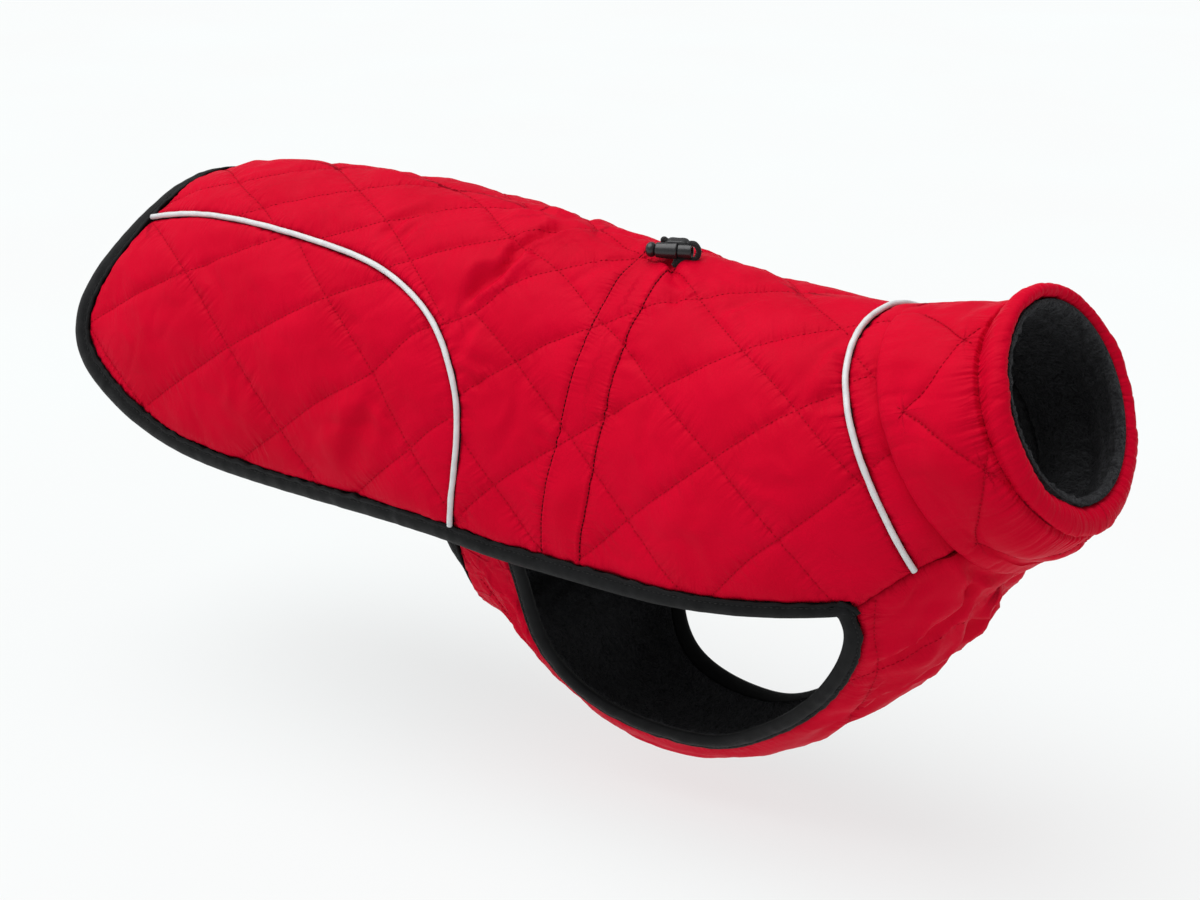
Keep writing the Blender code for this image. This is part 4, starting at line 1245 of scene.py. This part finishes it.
def make_lining(name, node, outline, surface, cell, fleece, seed, sink=lambda flat: 0):
    """Fleece inside a panel, with soft tufts and a ruffled border."""
    flat, triangles = cut_cloth(outline, cell)
    place = surface(flat)
    distance, _, _, along = Lines([closed_line(outline)], surface, seed).measure(place)
    ruffle = fading(distance, 3.0 * MM) * (1.9 + 0.7 * waves(along, 0.006, seed + 1))
    tufts = layered(place, seed + 2, (0.30, 0.010), (0.18, 0.0065))
    folds = 0.5 * waves(place, 0.05, seed + 4)
    top = LINING_TOP - sink(flat) + np.zeros(len(flat))
    inner = top - LINING - MM * np.maximum(0.0, 0.5 + 1.1 * ruffle + tufts + folds * 0.5)
    piece = wall(name, flat, triangles, surface, top, inner, fleece)
    told("fleece", node, piece)
    sheet(piece, flat, triangles, surface)


def chest_lift(flat):
    """The chest swells out from under the collar, and lies flatter low down."""
    x, from_collar, from_keel = flat[:, 0], COLLAR_X - flat[:, 0], flat[:, 1]
    roll = 3.4 * bell(from_collar - 9 * MM, 6.5 * MM) - 2.5 * fading(from_collar, 3.0 * MM)
    front = ramp(x, 0.105, 0.150) * bell(from_keel, 0.085)
    belly = ramp(x, 0.150, 0.105) * bell(from_keel, 0.030)
    return MM * (roll - 3.0 * front - 2.6 * belly)


def chest_sink(flat):
    """The chest's lining keeps clear of the deep folds in front."""
    front = ramp(flat[:, 0], 0.100, 0.145) * bell(flat[:, 1], 0.110, 4)
    belly = ramp(flat[:, 0], 0.150, 0.105) * bell(flat[:, 1], 0.030)
    return MM * (4.6 * front + 2.4 * belly)


def chest_outline(lines, rear, leg):
    """The chest and belly panel's cut: band edge, strap end, leg opening, shoulder and collar."""
    strap_end = np.linspace(rear[-1], leg[0], 24)
    collar_edge = np.array([(COLLAR_X, v) for v in np.arange(0.135, 0.1955, FINE_STEP)])
    rear_cut = to_keel(moved(rear, BAND_BINDING_WIDTH + BINDING_GAP))
    rear_cut[0, 1] = 0.0
    leg_cut = extended(moved(leg, BINDING_GAP))[1:]
    front = to_keel(joined(leg_cut, lines["shoulder_lower"], collar_edge))
    path = np.vstack([rear_cut[:-1], to_keel(strap_end)[1:-1], front])
    to_axis = [(COLLAR_X, w) for w in np.arange(path[-1, 1], 0, -FINE_STEP)][1:]
    return mirrored_outline(np.vstack([path, to_axis, (COLLAR_X, 0.0)]))


def band_wrinkles(flat, band):
    """Long thin wrinkles of the belly band, added to its height."""
    stretch = np.stack([flat[:, 0] * 1.0, np.abs(flat[:, 1]) * 0.42], -1)
    wrinkles = bell(waves(stretch, 0.030, 511), 0.16)
    wrinkles += 0.7 * bell(waves(stretch[:, ::-1] * (1.0, 0.8), 0.036, 512), 0.13)
    fine = 0.15 * waves(chest_surface(flat), 0.016, 513)
    return band * MM * (0.35 * wrinkles - 0.2 + fine)


def chest_panel(outline, red, sewing):
    """The chest and belly panel. It thins where its straps slip inside the back panel."""
    # painted shade: the chest's colour darkens just below the collar, where the collar shades it
    shell = Shell(chest_surface, halves(DOWN_LINES["chest"], chest_mirror),
                  halves(UP_LINES["chest"], chest_mirror), closed_line(outline), 500, (),
                  CHEST_CREASES, chest_mirror, puff=1.5 * MM, groove=0.5 * MM, soft=1.2,
                  lift=chest_lift, sunk=chest_sink,
                  shade=lambda flat: 0.8 * bell(COLLAR_X - flat[:, 0], 3.5 * MM))
    quilting = all_clipped(shell.quilting, outline)
    flat, triangles = cut_cloth(outline, CHEST_CELL, quilting)
    out, marks = shell.heights(flat)
    girth = half_girth(flat[:, 0]) - np.abs(flat[:, 1])
    marks["net"] = ramp(flat[:, 0], 0.060, 0.000) * ramp(girth, 0.17, 0.20)
    out += band_wrinkles(flat, marks["net"])
    hidden = strap_depth(flat[:, 0], girth) / STRAP_DEPTH
    out = np.minimum(out, 0.9 * MM + 12 * MM * (1 - hidden))
    out = np.maximum(out, LINING_TOP + 1.0 * MM - chest_sink(flat))
    panel = quilted_wall("chest_belly_cloth", flat, triangles, shell, out, marks, red)
    stitches = stitched("chest_belly_quilting", quilting, chest_surface, shell.height,
                        CHEST_STITCH, sewing)
    quilted(panel, "chest_belly_panel", flat, triangles, shell, stitches)


def chest_pieces(lines, red, sewing, fleece, tape, tape_sewing):
    rear, leg_fold = seam_line(BAND_REAR), seam_line(LEG_FOLD)
    leg = moved(leg_fold, LEG_TAPE_WIDTH)
    outline = chest_outline(lines, rear, leg)
    chest_panel(outline, red, sewing)
    make_lining("chest_belly_fleece", "chest_belly_lining", outline, chest_surface,
                CHEST_LINING_CELL, fleece, 600, chest_sink)
    corner = np.array(LEG_CORNER) / 1000
    for side, word in SIDES:
        seam = to_keel(np.vstack([leg, corner[:, 1]])) * (1, side)
        fold = to_keel(np.vstack([leg_fold, corner[:, 0]])) * (1, side)
        make_tape("leg_tape_" + word, "leg_binding_" + word, seam[::side], fold[::side],
                  chest_surface, tape, tape_sewing, BINDING_WIDTH, 700 + side)
    seam, fold = to_keel(moved(rear, BAND_BINDING_WIDTH)), to_keel(rear)
    seam[0, 1] = fold[0, 1] = 0.0
    make_tape("belly_band_tape", "belly_band_binding", both_sides(seam), both_sides(fold),
              chest_surface, tape, tape_sewing, BAND_BINDING_WIDTH, 720)


# ---------------------------------------------------------------- bound edges and piping
TAPE_SECTION = [            # across from the fold and out, in mm for a tape 10 mm wide
    (11.2, -0.10), (11.1, 0.45), (10.4, 0.95), (9.4, 0.95), (8.7, 0.60), (8.0, 0.95), (6.4, 1.30),
    (4.6, 1.25), (2.9, 0.85), (1.5, 0.20), (0.5, -0.70), (0.0, -1.70), (0.1, -2.60), (0.9, -3.50),
    (2.4, -4.40), (4.6, -5.20), (8.0, -6.00), (10.3, -6.00), (10.8, -5.40), (10.4, -3.9),
    (10.4, -1.2),
]
STITCH_ROW = 8.7            # mm from the fold


def make_tape(name, node, seam, fold, surface, finish, sewing, width, seed):
    """A bound edge folded over the cloth, with its stitch row. Seen from outside, the fold lies
    on the right of the way along."""
    along = run_length(surface(fold))
    edge_wave = layered(along, seed, (0.28, 0.012), (0.12, 0.005))
    crown_wave = layered(along, seed + 2, (0.10, 0.010), (0.16, 0.03))
    dimple = 0.22 * np.abs(waves(along, 0.0052, seed + 4))

    def row_of(across, out):
        """One lengthwise row of the tape's skin."""
        shift = edge_wave * MM / width * max(0.0, (across - 7.5) / 3.0)
        out = np.full(len(along), out)
        if out[0] > -1.0:
            out += crown_wave * bell(across - 5, 4)
            out -= dimple * bell(across - STITCH_ROW, 1.3)
        mix = (across * MM / BINDING_WIDTH + shift)[:, None]
        return surface(seam * mix + fold * (1 - mix), MM * out)

    sections = np.stack([row_of(*spot) for spot in TAPE_SECTION], axis=1)
    uv = grid(along, run_length(np.array(TAPE_SECTION)) * MM)
    piece = sweep(name, sections, finish, uv=uv)
    share = STITCH_ROW * MM / BINDING_WIDTH
    row = seam * share + fold * (1 - share)
    stitches = stitched(name + "_stitches", [row[2:-2]], surface,
                        lambda flat: np.full(len(flat), 0.62 * MM), TAPE_STITCH, sewing)
    told("binding_tape", node, piece, stitches)


def piping_bead(name, node, line, finish, seed):
    """A round piping in its seam, a little uneven."""
    sides = 14
    along = run_length(back_surface(line))
    radius = PIPING_SHOWN * (1 + 0.02 * waves(along, 0.012, seed + 1))
    centre = back_surface(line, 0.05 * MM + 0.10 * MM * waves(along, 0.02, seed))
    normal = unit(back_surface(line, 0.001) - back_surface(line))
    side = np.cross(unit(np.gradient(centre, axis=0)), normal)
    sections = centre[:, None] + circles(normal, side, sides) * radius[:, None, None]
    piece = sweep(name, sections, finish, uv=grid(along, even_angles(sides) * PIPING_RADIUS))
    told("reflective_piping", node, piece)


def trims(lines, tape, tape_sewing, piping):
    fold = lines["hem"]
    seam = moved(fold, -hem_width(fold))
    seam[0, 1] = 0.0
    make_tape("hem_tape", "hem_binding", both_sides(seam)[::-1], both_sides(fold)[::-1],
              back_surface, tape, tape_sewing, BINDING_WIDTH, 740)
    stop = extended(moved(fold, -(hem_width(fold) + 1.4 * MM)))
    tail = extended(lines["tail_piping"])
    start, i, _ = crossing(tail, stop)
    end, j, _ = crossing(tail[::-1], stop[::-1])
    run = np.vstack([start, tail[i + 1:len(tail) - 1 - j], end])
    for side, word in SIDES:
        piping_bead("tail_piping_bead_" + word, "tail_piping_" + word, run * (1, side), piping,
                    760 + side)
    neck = extended(both_sides(lines["neck_piping"]), 3.0 * MM)
    piping_bead("neck_piping_bead", "neck_piping", neck, piping, 770)


# ---------------------------------------------------------------- collar
AROUND = 720
FLEECE_AROUND = 600
NECK_GIRTH = 0.36
RING_STEP = 0.022           # the collar's length from one ring to the next
RIM_CASING_STEP, RIM_MOUTH_STEP = 9 * MM, 6 * MM        # and the rim's, at its two ends
COLLAR_ROLL = [             # the collar rolls over its rear seam: station, and out in mm
    (7.10, -3.0), (6.98, -2.9), (6.925, -2.0), (6.895, -0.6), (6.880, 0.9), (6.885, 2.5),
    (6.910, 4.0), (6.960, 5.3), (7.035, 6.2), (7.12, 6.6),
]
COLLAR_LINES = [            # quilting on one half of the collar: station and angle
    [(7.00, 1.05), (7.24, 1.24), (7.80, 1.35), (8.29, 1.48), (8.73, 1.70), (9.0, 1.92)],
    [(7.02, 1.38), (7.24, 1.24), (7.69, 1.08), (8.14, 0.85), (8.53, 0.60), (9.0, 0.38)],
    [(7.10, 0.16), (7.48, 0.31), (8.53, 0.60), (9.0, 0.72)],
    [(9.0, 1.56), (8.76, 1.70), (8.42, 1.92), (7.75, 2.20), (7.02, 2.42)],
    [(7.00, 2.25), (7.60, 2.55), (8.40, 2.95), (8.60, 3.14)],
]
FLEECE_ROLL = [             # the fleece's rolled edge: back and in from the rim's mouth, in mm
    (3.2, -0.2), (1.4, -0.3), (0.0, -0.1), (-0.9, 0.5), (-1.3, 1.4), (-1.0, 2.3), (-0.1, 3.0),
    (1.2, 3.3), (2.8, 3.3),
]
FLEECE_SEAM = 0.021         # from the fleece's rolled edge to the seam that dents it


def ring_surface(tube):
    """The surface of a tube by ring number and angle."""
    def surface(flat, out=0.0):
        s, angle = flat.T
        normal, _, _ = outward(lambda a, b: ring_point(tube, a, b), s, angle, 0.004)
        return ring_point(tube, s, angle) + np.broadcast_to(out, s.shape)[:, None] * normal
    return surface


collar_surface, rim_surface = ring_surface(BODY), ring_surface(RIM)


def ring_angles(count):
    return (np.arange(count) + 0.5) * 2 * pi / count - pi


def ring_line(points):
    fine = drawn(np.array(points), 200)
    return resampled(fine, run_length(ring_point(BODY, *fine.T)))


def round_place(angle, radius):
    """Places on a circle, for noise that closes round the neck."""
    return np.stack([np.cos(angle), np.sin(angle)], -1) * radius


def ring_wall(name, surface, stations, outs, inner_rows, inner_outs, finish, marks, start=None):
    """A padded wall round the neck: rows of rings with an outer height for each point, and a
    smooth inner side through a few of them. It may set out from a given ring of points."""
    rows, around = outs.shape
    angle = ring_angles(around)

    def rings(s, heights):
        return surface(grid(s, angle), heights.ravel()).reshape(len(s), around, 3)

    inner = rings(stations[inner_rows], inner_outs)
    outer = rings(stations, outs)
    if start is not None:
        away = ramp(stations, 0.0, 0.55)[:, None, None]
        outer = start[None] * (1 - away) + outer * away
    loop = np.concatenate([outer, inner[::-1]], axis=0)
    uv = grid(angle * NECK_GIRTH / (2 * pi), run_length(loop[:, 0]))
    unmarked = np.zeros((len(inner_rows), around))
    marks = {key: np.concatenate([values.reshape(rows, around), unmarked], axis=0).T.ravel()
             for key, values in marks.items()}
    return sweep(name, np.moveaxis(loop, 0, 1), finish, closed=True, uv=uv, marks=marks)


def collar_profile():
    """Stations of the collar, the cloth's height there, and how much lower it lies on the spine."""
    roll_station, roll_height = np.array(COLLAR_ROLL).T
    body = np.concatenate([np.linspace(7.2, 8.86, 44), np.linspace(8.88, COLLAR_CASING, 7)])
    height = 6.7 - 3.3 * ramp(body, 7.2, 8.1) + 2.0 * ramp(body, 8.0, 8.7)
    height -= 1.9 * ramp(body, 8.86, COLLAR_CASING) ** 1.5
    sink = 6.2 - 3.0 * ramp(body, 8.4, COLLAR_CASING)
    return (np.concatenate([roll_station, body]), np.concatenate([roll_height, height]),
            np.concatenate([np.maximum(roll_height, 0) * 0.85, sink]))


def collar(red, sewing, fleece):
    """The padded collar, quilted and gathered at its casing, with its rim and its fleece."""
    stations, base, sink = collar_profile()
    rows, angle = len(stations), ring_angles(AROUND)
    sink = sink[:, None] * bell(angle, 0.8)[None]
    flat = grid(stations, angle)
    s, turn = flat.T
    place = collar_surface(flat)
    lines = [ring_line(points) * (1, side) for points in COLLAR_LINES for side in (-1, 1)]
    distance, _, _, along = Lines(lines, collar_surface, 800).measure(place)
    from_casing = (COLLAR_CASING - s) * RING_STEP
    from_seam = np.clip(s - COLLAR_SEAM, 0, None) * RING_STEP
    free = ramp(s, COLLAR_SEAM, 7.2)            # of the roll over the rear seam
    ring = round_place(turn, 0.057)
    out = np.repeat(base, AROUND) - sink.ravel()
    puff = 2.4 * (1 - fading(distance, PUFF_REACH)) - 0.6 * bell(distance, *GROOVE)
    out += free * (puff - 1.2 + gathers(distance, along, place, COLLAR_GATHER, 801))
    out -= 1.3 * ramp(s, 7.6, 8.8) * (1 - np.cos(turn))
    out += 0.95 * fading(from_casing, 5.5 * MM) * valleys(waves(ring, 0.0052, 802))
    out += 0.8 * fading(from_casing, 11 * MM) * valleys(waves(ring, 0.016, 803), 0.35)
    out += 0.7 * fading(from_seam, 12 * MM) * valleys(waves(ring, 0.024, 804), 0.35)
    out += free * layered(place, 805, (0.5, 0.035), (0.2, 0.014))
    round_neck = turn * NECK_GIRTH / (2 * pi)
    # painted shade: the collar's colour darkens along its stitched lines and at its casing seam
    marks = {"groove": np.maximum(0.22 * free * bell(distance, GROOVE_SHADE_WIDTH),
                                  0.5 * fading(from_casing, 0.9 * MM)),
             "run_down": along, "near_down": 0.18 * free * fading(distance, 4 * MM),
             "run_seam": round_neck, "near_seam": 0.9 * fading(from_casing, 5 * MM),
             "run_edge": round_neck + 3, "near_edge": 0.2 * fading(from_seam, 6 * MM)}
    outs = (out * MM).reshape(rows, AROUND)
    inner_rows = np.linspace(len(COLLAR_ROLL) - 1, rows - 1, 12).astype(int)
    inner = (base[inner_rows, None] - sink[inner_rows] - 4.0) * MM
    piece = ring_wall("collar_cloth", collar_surface, stations, outs, inner_rows, inner, red, marks)

    def height(spots):
        index, _ = nearest(spots, flat[::3])
        return out[::3][index] * MM + 0.15 * MM

    shown = [line[(line[:, 0] > 7.12) & (line[:, 0] < 8.9)] for line in lines]
    stitches = stitched("collar_quilting", shown, collar_surface, height, COLLAR_STITCH, sewing)
    told("quilted_polyester", "collar", piece, stitches)
    edge = collar_surface(grid([COLLAR_CASING], angle), outs[-1] + 0.1 * MM)
    rim(red, ring[:AROUND], edge)
    collar_fleece(fleece)


def rim(red, ring_place, start):
    """The rolled rim: a padded roll gathered at its casing seam and where the fleece joins."""
    stations = np.concatenate([np.linspace(0, 0.16, 6), np.linspace(0.2, 2.7, 34),
                               np.linspace(2.76, 3.0, 6)])
    rows = len(stations)
    s, ring = np.repeat(stations, AROUND), np.tile(ring_place, (rows, 1))
    lean = ring + np.stack([0 * s, 0.0022 * s], -1)
    wide = np.column_stack([ring, s * 0.006])
    from_casing, from_mouth = s * RIM_CASING_STEP, (3 - s) * RIM_MOUTH_STEP
    out = 1.3 * np.sin(pi * np.clip(s / 3, 0, 1)) ** 0.8 - 0.2
    out -= 0.7 * fading(from_mouth, 1.2 * MM)
    out += 0.9 * fading(from_casing, 4.5 * MM) * valleys(waves(ring, 0.0054, 811))
    out += 0.9 * fading(from_mouth, 6.0 * MM) * valleys(waves(lean, 0.0080, 812), 0.4)
    out += 0.35 * fading(from_mouth, 3.0 * MM) * valleys(waves(ring, 0.0045, 813))
    out += layered(wide, 814, (0.22, 0.026), (0.10, 0.009))
    out += 0.25 * valleys(waves(wide * (1, 1, 0.4), 0.018, 816), 0.3)
    round_neck = np.tile(ring_angles(AROUND) * NECK_GIRTH / (2 * pi), rows) + 0.25 * from_mouth
    # painted shade: the rim's colour darkens at its casing seam and at the mouth where the fleece
    # joins
    marks = {"groove": np.maximum(0.5 * fading(from_casing, 0.9 * MM),
                                  0.5 * fading(from_mouth, 1.0 * MM)),
             "run_seam": round_neck, "near_seam": 0.9 * fading(from_casing, 6 * MM),
             "run_edge": round_neck + 5, "near_edge": 0.7 * fading(from_mouth, 7 * MM)}
    inner_rows = np.linspace(0, rows - 1, 9).astype(int)
    inner = np.full(len(inner_rows) * AROUND, -4.0 * MM)
    piece = ring_wall("rim_cloth", rim_surface, stations, (out * MM).reshape(rows, AROUND),
                      inner_rows, inner, red, marks, start)
    told("quilted_polyester", "collar_rim", piece)


def collar_fleece(fleece):
    """Fleece from the mouth's rolled edge down to the collar's seam."""
    angle = ring_angles(FLEECE_AROUND)
    mouth = ring_point(RIM, 3.0, angle)
    centre = mouth.mean(axis=0)
    back = unit(ring_point(BODY, 7.02, angle).mean(axis=0) - centre)
    inward = unit(centre - mouth)
    rings = [mouth + back * behind * MM + inward * inset * MM for behind, inset in FLEECE_ROLL]
    last = rings[-1]
    for share in np.linspace(0.02, 1, 46):
        away = ramp(share, 0.0, 0.36)
        under = collar_surface(grid([COLLAR_CASING - 1.98 * share], angle), -8.3 * MM)
        rings.append(last * (1 - away) + under * away)
    rings = np.array(rings)
    rows, along = len(rings), run_length(rings[:, 0])
    s, ring = np.repeat(along, FLEECE_AROUND), np.tile(round_place(angle, 0.05), (rows, 1))
    wide = np.column_stack([ring, s])
    push = 0.40 * waves(wide, 0.008, 821) + 0.45 * np.abs(waves(wide, 0.0045, 822))
    push += 0.55 * fading(s, 7 * MM) * valleys(waves(ring, 0.0048, 823), 0.5)
    push -= 1.3 * bell(s - FLEECE_SEAM, 1.4 * MM)
    push += 0.7 * bell(s - FLEECE_SEAM - 3.5 * MM, 2.2 * MM)
    inner = rings + (push * MM).reshape(rows, FLEECE_AROUND)[:, :, None] * inward[None]
    outer = rings - inward[None] * 1.3 * MM
    outer[:4] = rings[:4] + back * 1.1 * MM + inward[None] * 0.3 * MM
    loop = np.concatenate([outer, inner[::-1]], axis=0)
    uv = grid(angle * 0.05, np.concatenate([along, along[::-1]])[::-1])
    piece = sweep("collar_fleece", np.moveaxis(loop, 0, 1)[:, ::-1], fleece, closed=True, uv=uv)
    told("fleece", "collar_lining", piece)
    girth = run_length(closed_line(rings[10]))[-1]


# ---------------------------------------------------------------- toggle
TOGGLE_TURN = radians(22)   # it has swung a little to the left on its cord
TOGGLE_LIFT = radians(1)    # and its mouth is a little off the cloth
AXIS_HEIGHT = 5.2           # mm over the cloth's smooth form
BORE = [(10.0, 3.1), (9.8, 2.5), (8.6, 2.4), (8.5, 0.05)]      # the sleeve's mouth, in mm
HOUSING = [                 # outline of the spring housing seen from the side, in mm
    (-4.8, -2.0), (-4.8, 2.4), (-4.5, 3.3), (-3.8, 4.1), (-2.9, 4.6), (-1.9, 4.85), (-0.8, 4.9),
    (0.4, 4.8), (1.6, 4.75), (2.8, 4.8), (4.0, 4.9), (5.1, 4.85), (6.0, 4.6), (6.8, 4.1),
    (7.4, 3.3), (7.7, 2.4), (7.7, -2.0),
]
HOUSING_ROWS = [            # from its near face to its far one: mm across, and size
    (0.6, 0.93), (0.8, 0.98), (1.2, 1.0), (5.2, 1.0), (5.8, 0.98), (6.1, 0.93), (6.2, 0.86),
]
CORD_RUN = [                # the cord round the sleeve's end and down into the cloth, in mm
    (6.5, 2.6, 7.6), (9.8, 1.8, 9.0), (12.2, 1.0, 8.2), (13.4, 0.2, 5.4), (12.4, -0.4, 2.4),
    (10.2, -0.8, 0.9), (6.6, -1.0, 0.6), (3.4, -1.3, 0.0), (1.6, -1.6, -2.5),
]
CORD_BACK = [               # the cord's other side, up behind the barrel
    (0.5, 1.5, -2.0), (-2.0, 4.6, 0.5), (-5.0, 5.8, 3.8), (-6.8, 5.6, 7.4), (-5.4, 4.8, 9.2),
    (-3.4, 3.8, 8.0),
]
CORD_SIDE = (0, 1.0, 0.15)  # a direction that no stretch of the cord follows


def toggle_frame():
    """Where the toggle lies on the cloth: X along it, Z away from the coat."""
    x, v = np.array([TOGGLE_X]), np.array([TOGGLE_V])
    normal, along, _ = outward(skin, x, v, 0.0004)
    forward = unit(along[0])
    across = np.cross(normal[0], forward)
    axis = cos(TOGGLE_TURN) * forward + sin(TOGGLE_TURN) * across
    beside = np.cross(normal[0], axis)
    axis = cos(TOGGLE_LIFT) * axis + sin(TOGGLE_LIFT) * normal[0]
    return np.stack([axis, beside, np.cross(axis, beside), skin(x, v)[0]])


def in_frame(matrix, points):
    """Points in mm in the toggle's frame, as points of the coat."""
    return points * MM @ matrix[:3] + matrix[3]


def turned(name, profile, matrix, finish, flatten=1.0):
    """A turned piece along the toggle: a profile of (along, radius) in mm."""
    angles = even_angles(48)
    rings = [np.stack([np.full(48, along), radius * np.cos(angles),
                       AXIS_HEIGHT + flatten * radius * np.sin(angles)], -1)
             for along, radius in profile]
    return sweep(name, in_frame(matrix, np.array(rings)), finish)


def rounded_profile(start, end, radius, corner):
    """Profile of a barrel with rounded rims."""
    turn = np.linspace(0, pi / 2, 7)
    first = [(start + corner * (1 - cos(t)), radius - corner + corner * sin(t)) for t in turn]
    last = [(end - corner * (1 - cos(t)), radius - corner + corner * sin(t)) for t in turn[::-1]]
    return [(start, 0.05)] + first + last + [(end, 0.05)]


def cord(name, points, radius, matrix, finish, flare=0.0):
    """A round cord along a smooth path in the toggle's frame, in mm, flared at its end."""
    sides = 16
    fine = drawn(np.array(points), 400)
    path = resampled(fine, run_length(fine), 0.4)
    tangent = unit(np.gradient(path, axis=0))
    first = unit(np.array(CORD_SIDE) - (tangent @ CORD_SIDE)[:, None] * tangent)
    along = run_length(path)
    width = radius * (1 + 0.04 * waves(along, 3.0, 881)
                      + flare * ramp(along, along[-1] - 8, along[-1] - 2))
    loops = circles(first, np.cross(tangent, first), sides) * width[:, None, None]
    uv = grid(along, even_angles(sides) * radius) * MM
    return sweep(name, in_frame(matrix, path[:, None] + loops), finish, uv=uv)


def housing(matrix, finish):
    """The block behind the barrel that holds the spring, with its curved thumb recess."""
    middle = np.array([0.5, 0.0])
    sections = []
    for across, size in HOUSING_ROWS:
        face = middle + (np.array(HOUSING) - middle) * size
        sections.append(np.stack([face[:, 0], np.full(len(face), across),
                                  face[:, 1] + AXIS_HEIGHT], -1))
    return sweep("toggle_housing", in_frame(matrix, np.array(sections)), finish)


def toggle(plastic, elastic):
    matrix = toggle_frame()
    barrel = [(a, r * (0.90 + 0.10 * ramp(a, -9.0, 1.0)))
              for a, r in rounded_profile(-8.9, 2.8, 4.5, 0.9)]
    sleeve = rounded_profile(3.0, 10.0, 3.7, 0.4)[:-1] + BORE
    ball = [(-11.5 - 2.9 * cos(t), max(0.05, 3.85 * sin(t) ** 0.8)) for t in np.linspace(0, pi, 22)]
    for slot, node, piece in (
            ("toggle_plastic", "toggle_barrel",
             turned("toggle_barrel_body", barrel, matrix, plastic, 0.96)),
            ("toggle_plastic", "toggle_sleeve",
             turned("toggle_sleeve_body", sleeve, matrix, plastic)),
            ("toggle_plastic", "toggle_button",
             turned("toggle_button_body", ball, matrix, plastic)),
            ("toggle_plastic", "toggle_plate", housing(matrix, plastic)),
            ("elastic_cord", "cord_loop", cord("cord_ring", CORD_RUN, 1.45, matrix, elastic, 0.9)),
            ("elastic_cord", "cord_anchor", cord("cord_behind", CORD_BACK, 1.3, matrix, elastic))):
        told(slot, node, piece)


# ---------------------------------------------------------------- camera, floor and light
VIEW_AZIMUTH = radians(38.41)
VIEW_ELEVATION = radians(18.12)
VIEW_DISTANCE = 1.2936
VIEW_TARGET = np.array([0.0104, 0.0, SHIFT_UP - 0.1213])
FLOOR_DROP = 0.020          # the coat hangs this far over the floor
FLOOR_SIZE = 30.0
FLOOR_GLOW = 0.72           # the pale floor glows by this much, though it is no lamp: it keeps the floor evenly bright and fills in the coat's shadow on it
WORLD_LIGHT = 0.42


def facing(direction, place):
    """Matrix of an object at a place, whose -Z axis looks against a direction."""
    b = direction / np.linalg.norm(direction)
    r = unit(np.cross((0, 0, 1.0), b))
    made = np.eye(4)
    made[:3] = np.stack([r, np.cross(b, r), b, place], -1)
    return Matrix(made.tolist())


def camera():
    toward = np.array([sin(VIEW_AZIMUTH) * cos(VIEW_ELEVATION),
                       -cos(VIEW_AZIMUTH) * cos(VIEW_ELEVATION), sin(VIEW_ELEVATION)])
    data = bpy.data.cameras.new("photo_camera")
    data.lens, data.sensor_width = 72.0, 36.0
    made = bpy.data.objects.new("photo_camera", data)
    made.matrix_world = facing(toward, VIEW_TARGET + toward * VIEW_DISTANCE)
    bpy.context.scene.collection.objects.link(made)
    bpy.context.scene.camera = made


def sun(name, direction, strength, angle):
    data = bpy.data.lights.new(name, "SUN")
    data.energy, data.angle = strength, radians(angle)
    made = bpy.data.objects.new(name, data)
    made.matrix_world = facing(np.array(direction), (0, 0, 1))
    bpy.context.scene.collection.objects.link(made)


def studio():
    floor_z = CAD_BOX[0][2] - FLOOR_DROP
    corners = [(x * FLOOR_SIZE, y * FLOOR_SIZE, floor_z)
               for x, y in ((-1, -1), (1, -1), (1, 1), (-1, 1))]
    floor = mesh_object("floor", corners, [(0, 1, 2, 3)], pale_floor())
    world = bpy.data.worlds.new("studio")
    bpy.context.scene.world = world
    world.use_nodes = True
    background = world.node_tree.nodes["Background"]
    background.inputs["Color"].default_value = (1.0, 1.0, 1.0, 1.0)
    background.inputs["Strength"].default_value = WORLD_LIGHT
    sun("key", (-0.27, -0.19, 1.0), 2.75, 65)
    sun("left", (-0.8, -0.7, 0.6), 0.52, 110)
    bpy.context.scene.view_settings.view_transform = "Standard"


# ---------------------------------------------------------------- everything
def main():
    camera()
    studio()
    red, red_sewing = red_satin(), thread("red_thread", RED_THREAD)
    fleece, tape = black_fleece(), black_tape()
    black_sewing = thread("black_thread", (0.0045, 0.0045, 0.005), 0.3)
    lines = coat_lines()
    back_panels(lines, red, red_sewing, fleece)
    chest_pieces(lines, red, red_sewing, fleece, tape, black_sewing)
    trims(lines, tape, black_sewing, grey_piping())
    collar(red, red_sewing, fleece)
    toggle(black_plastic(), black_cord())


main()
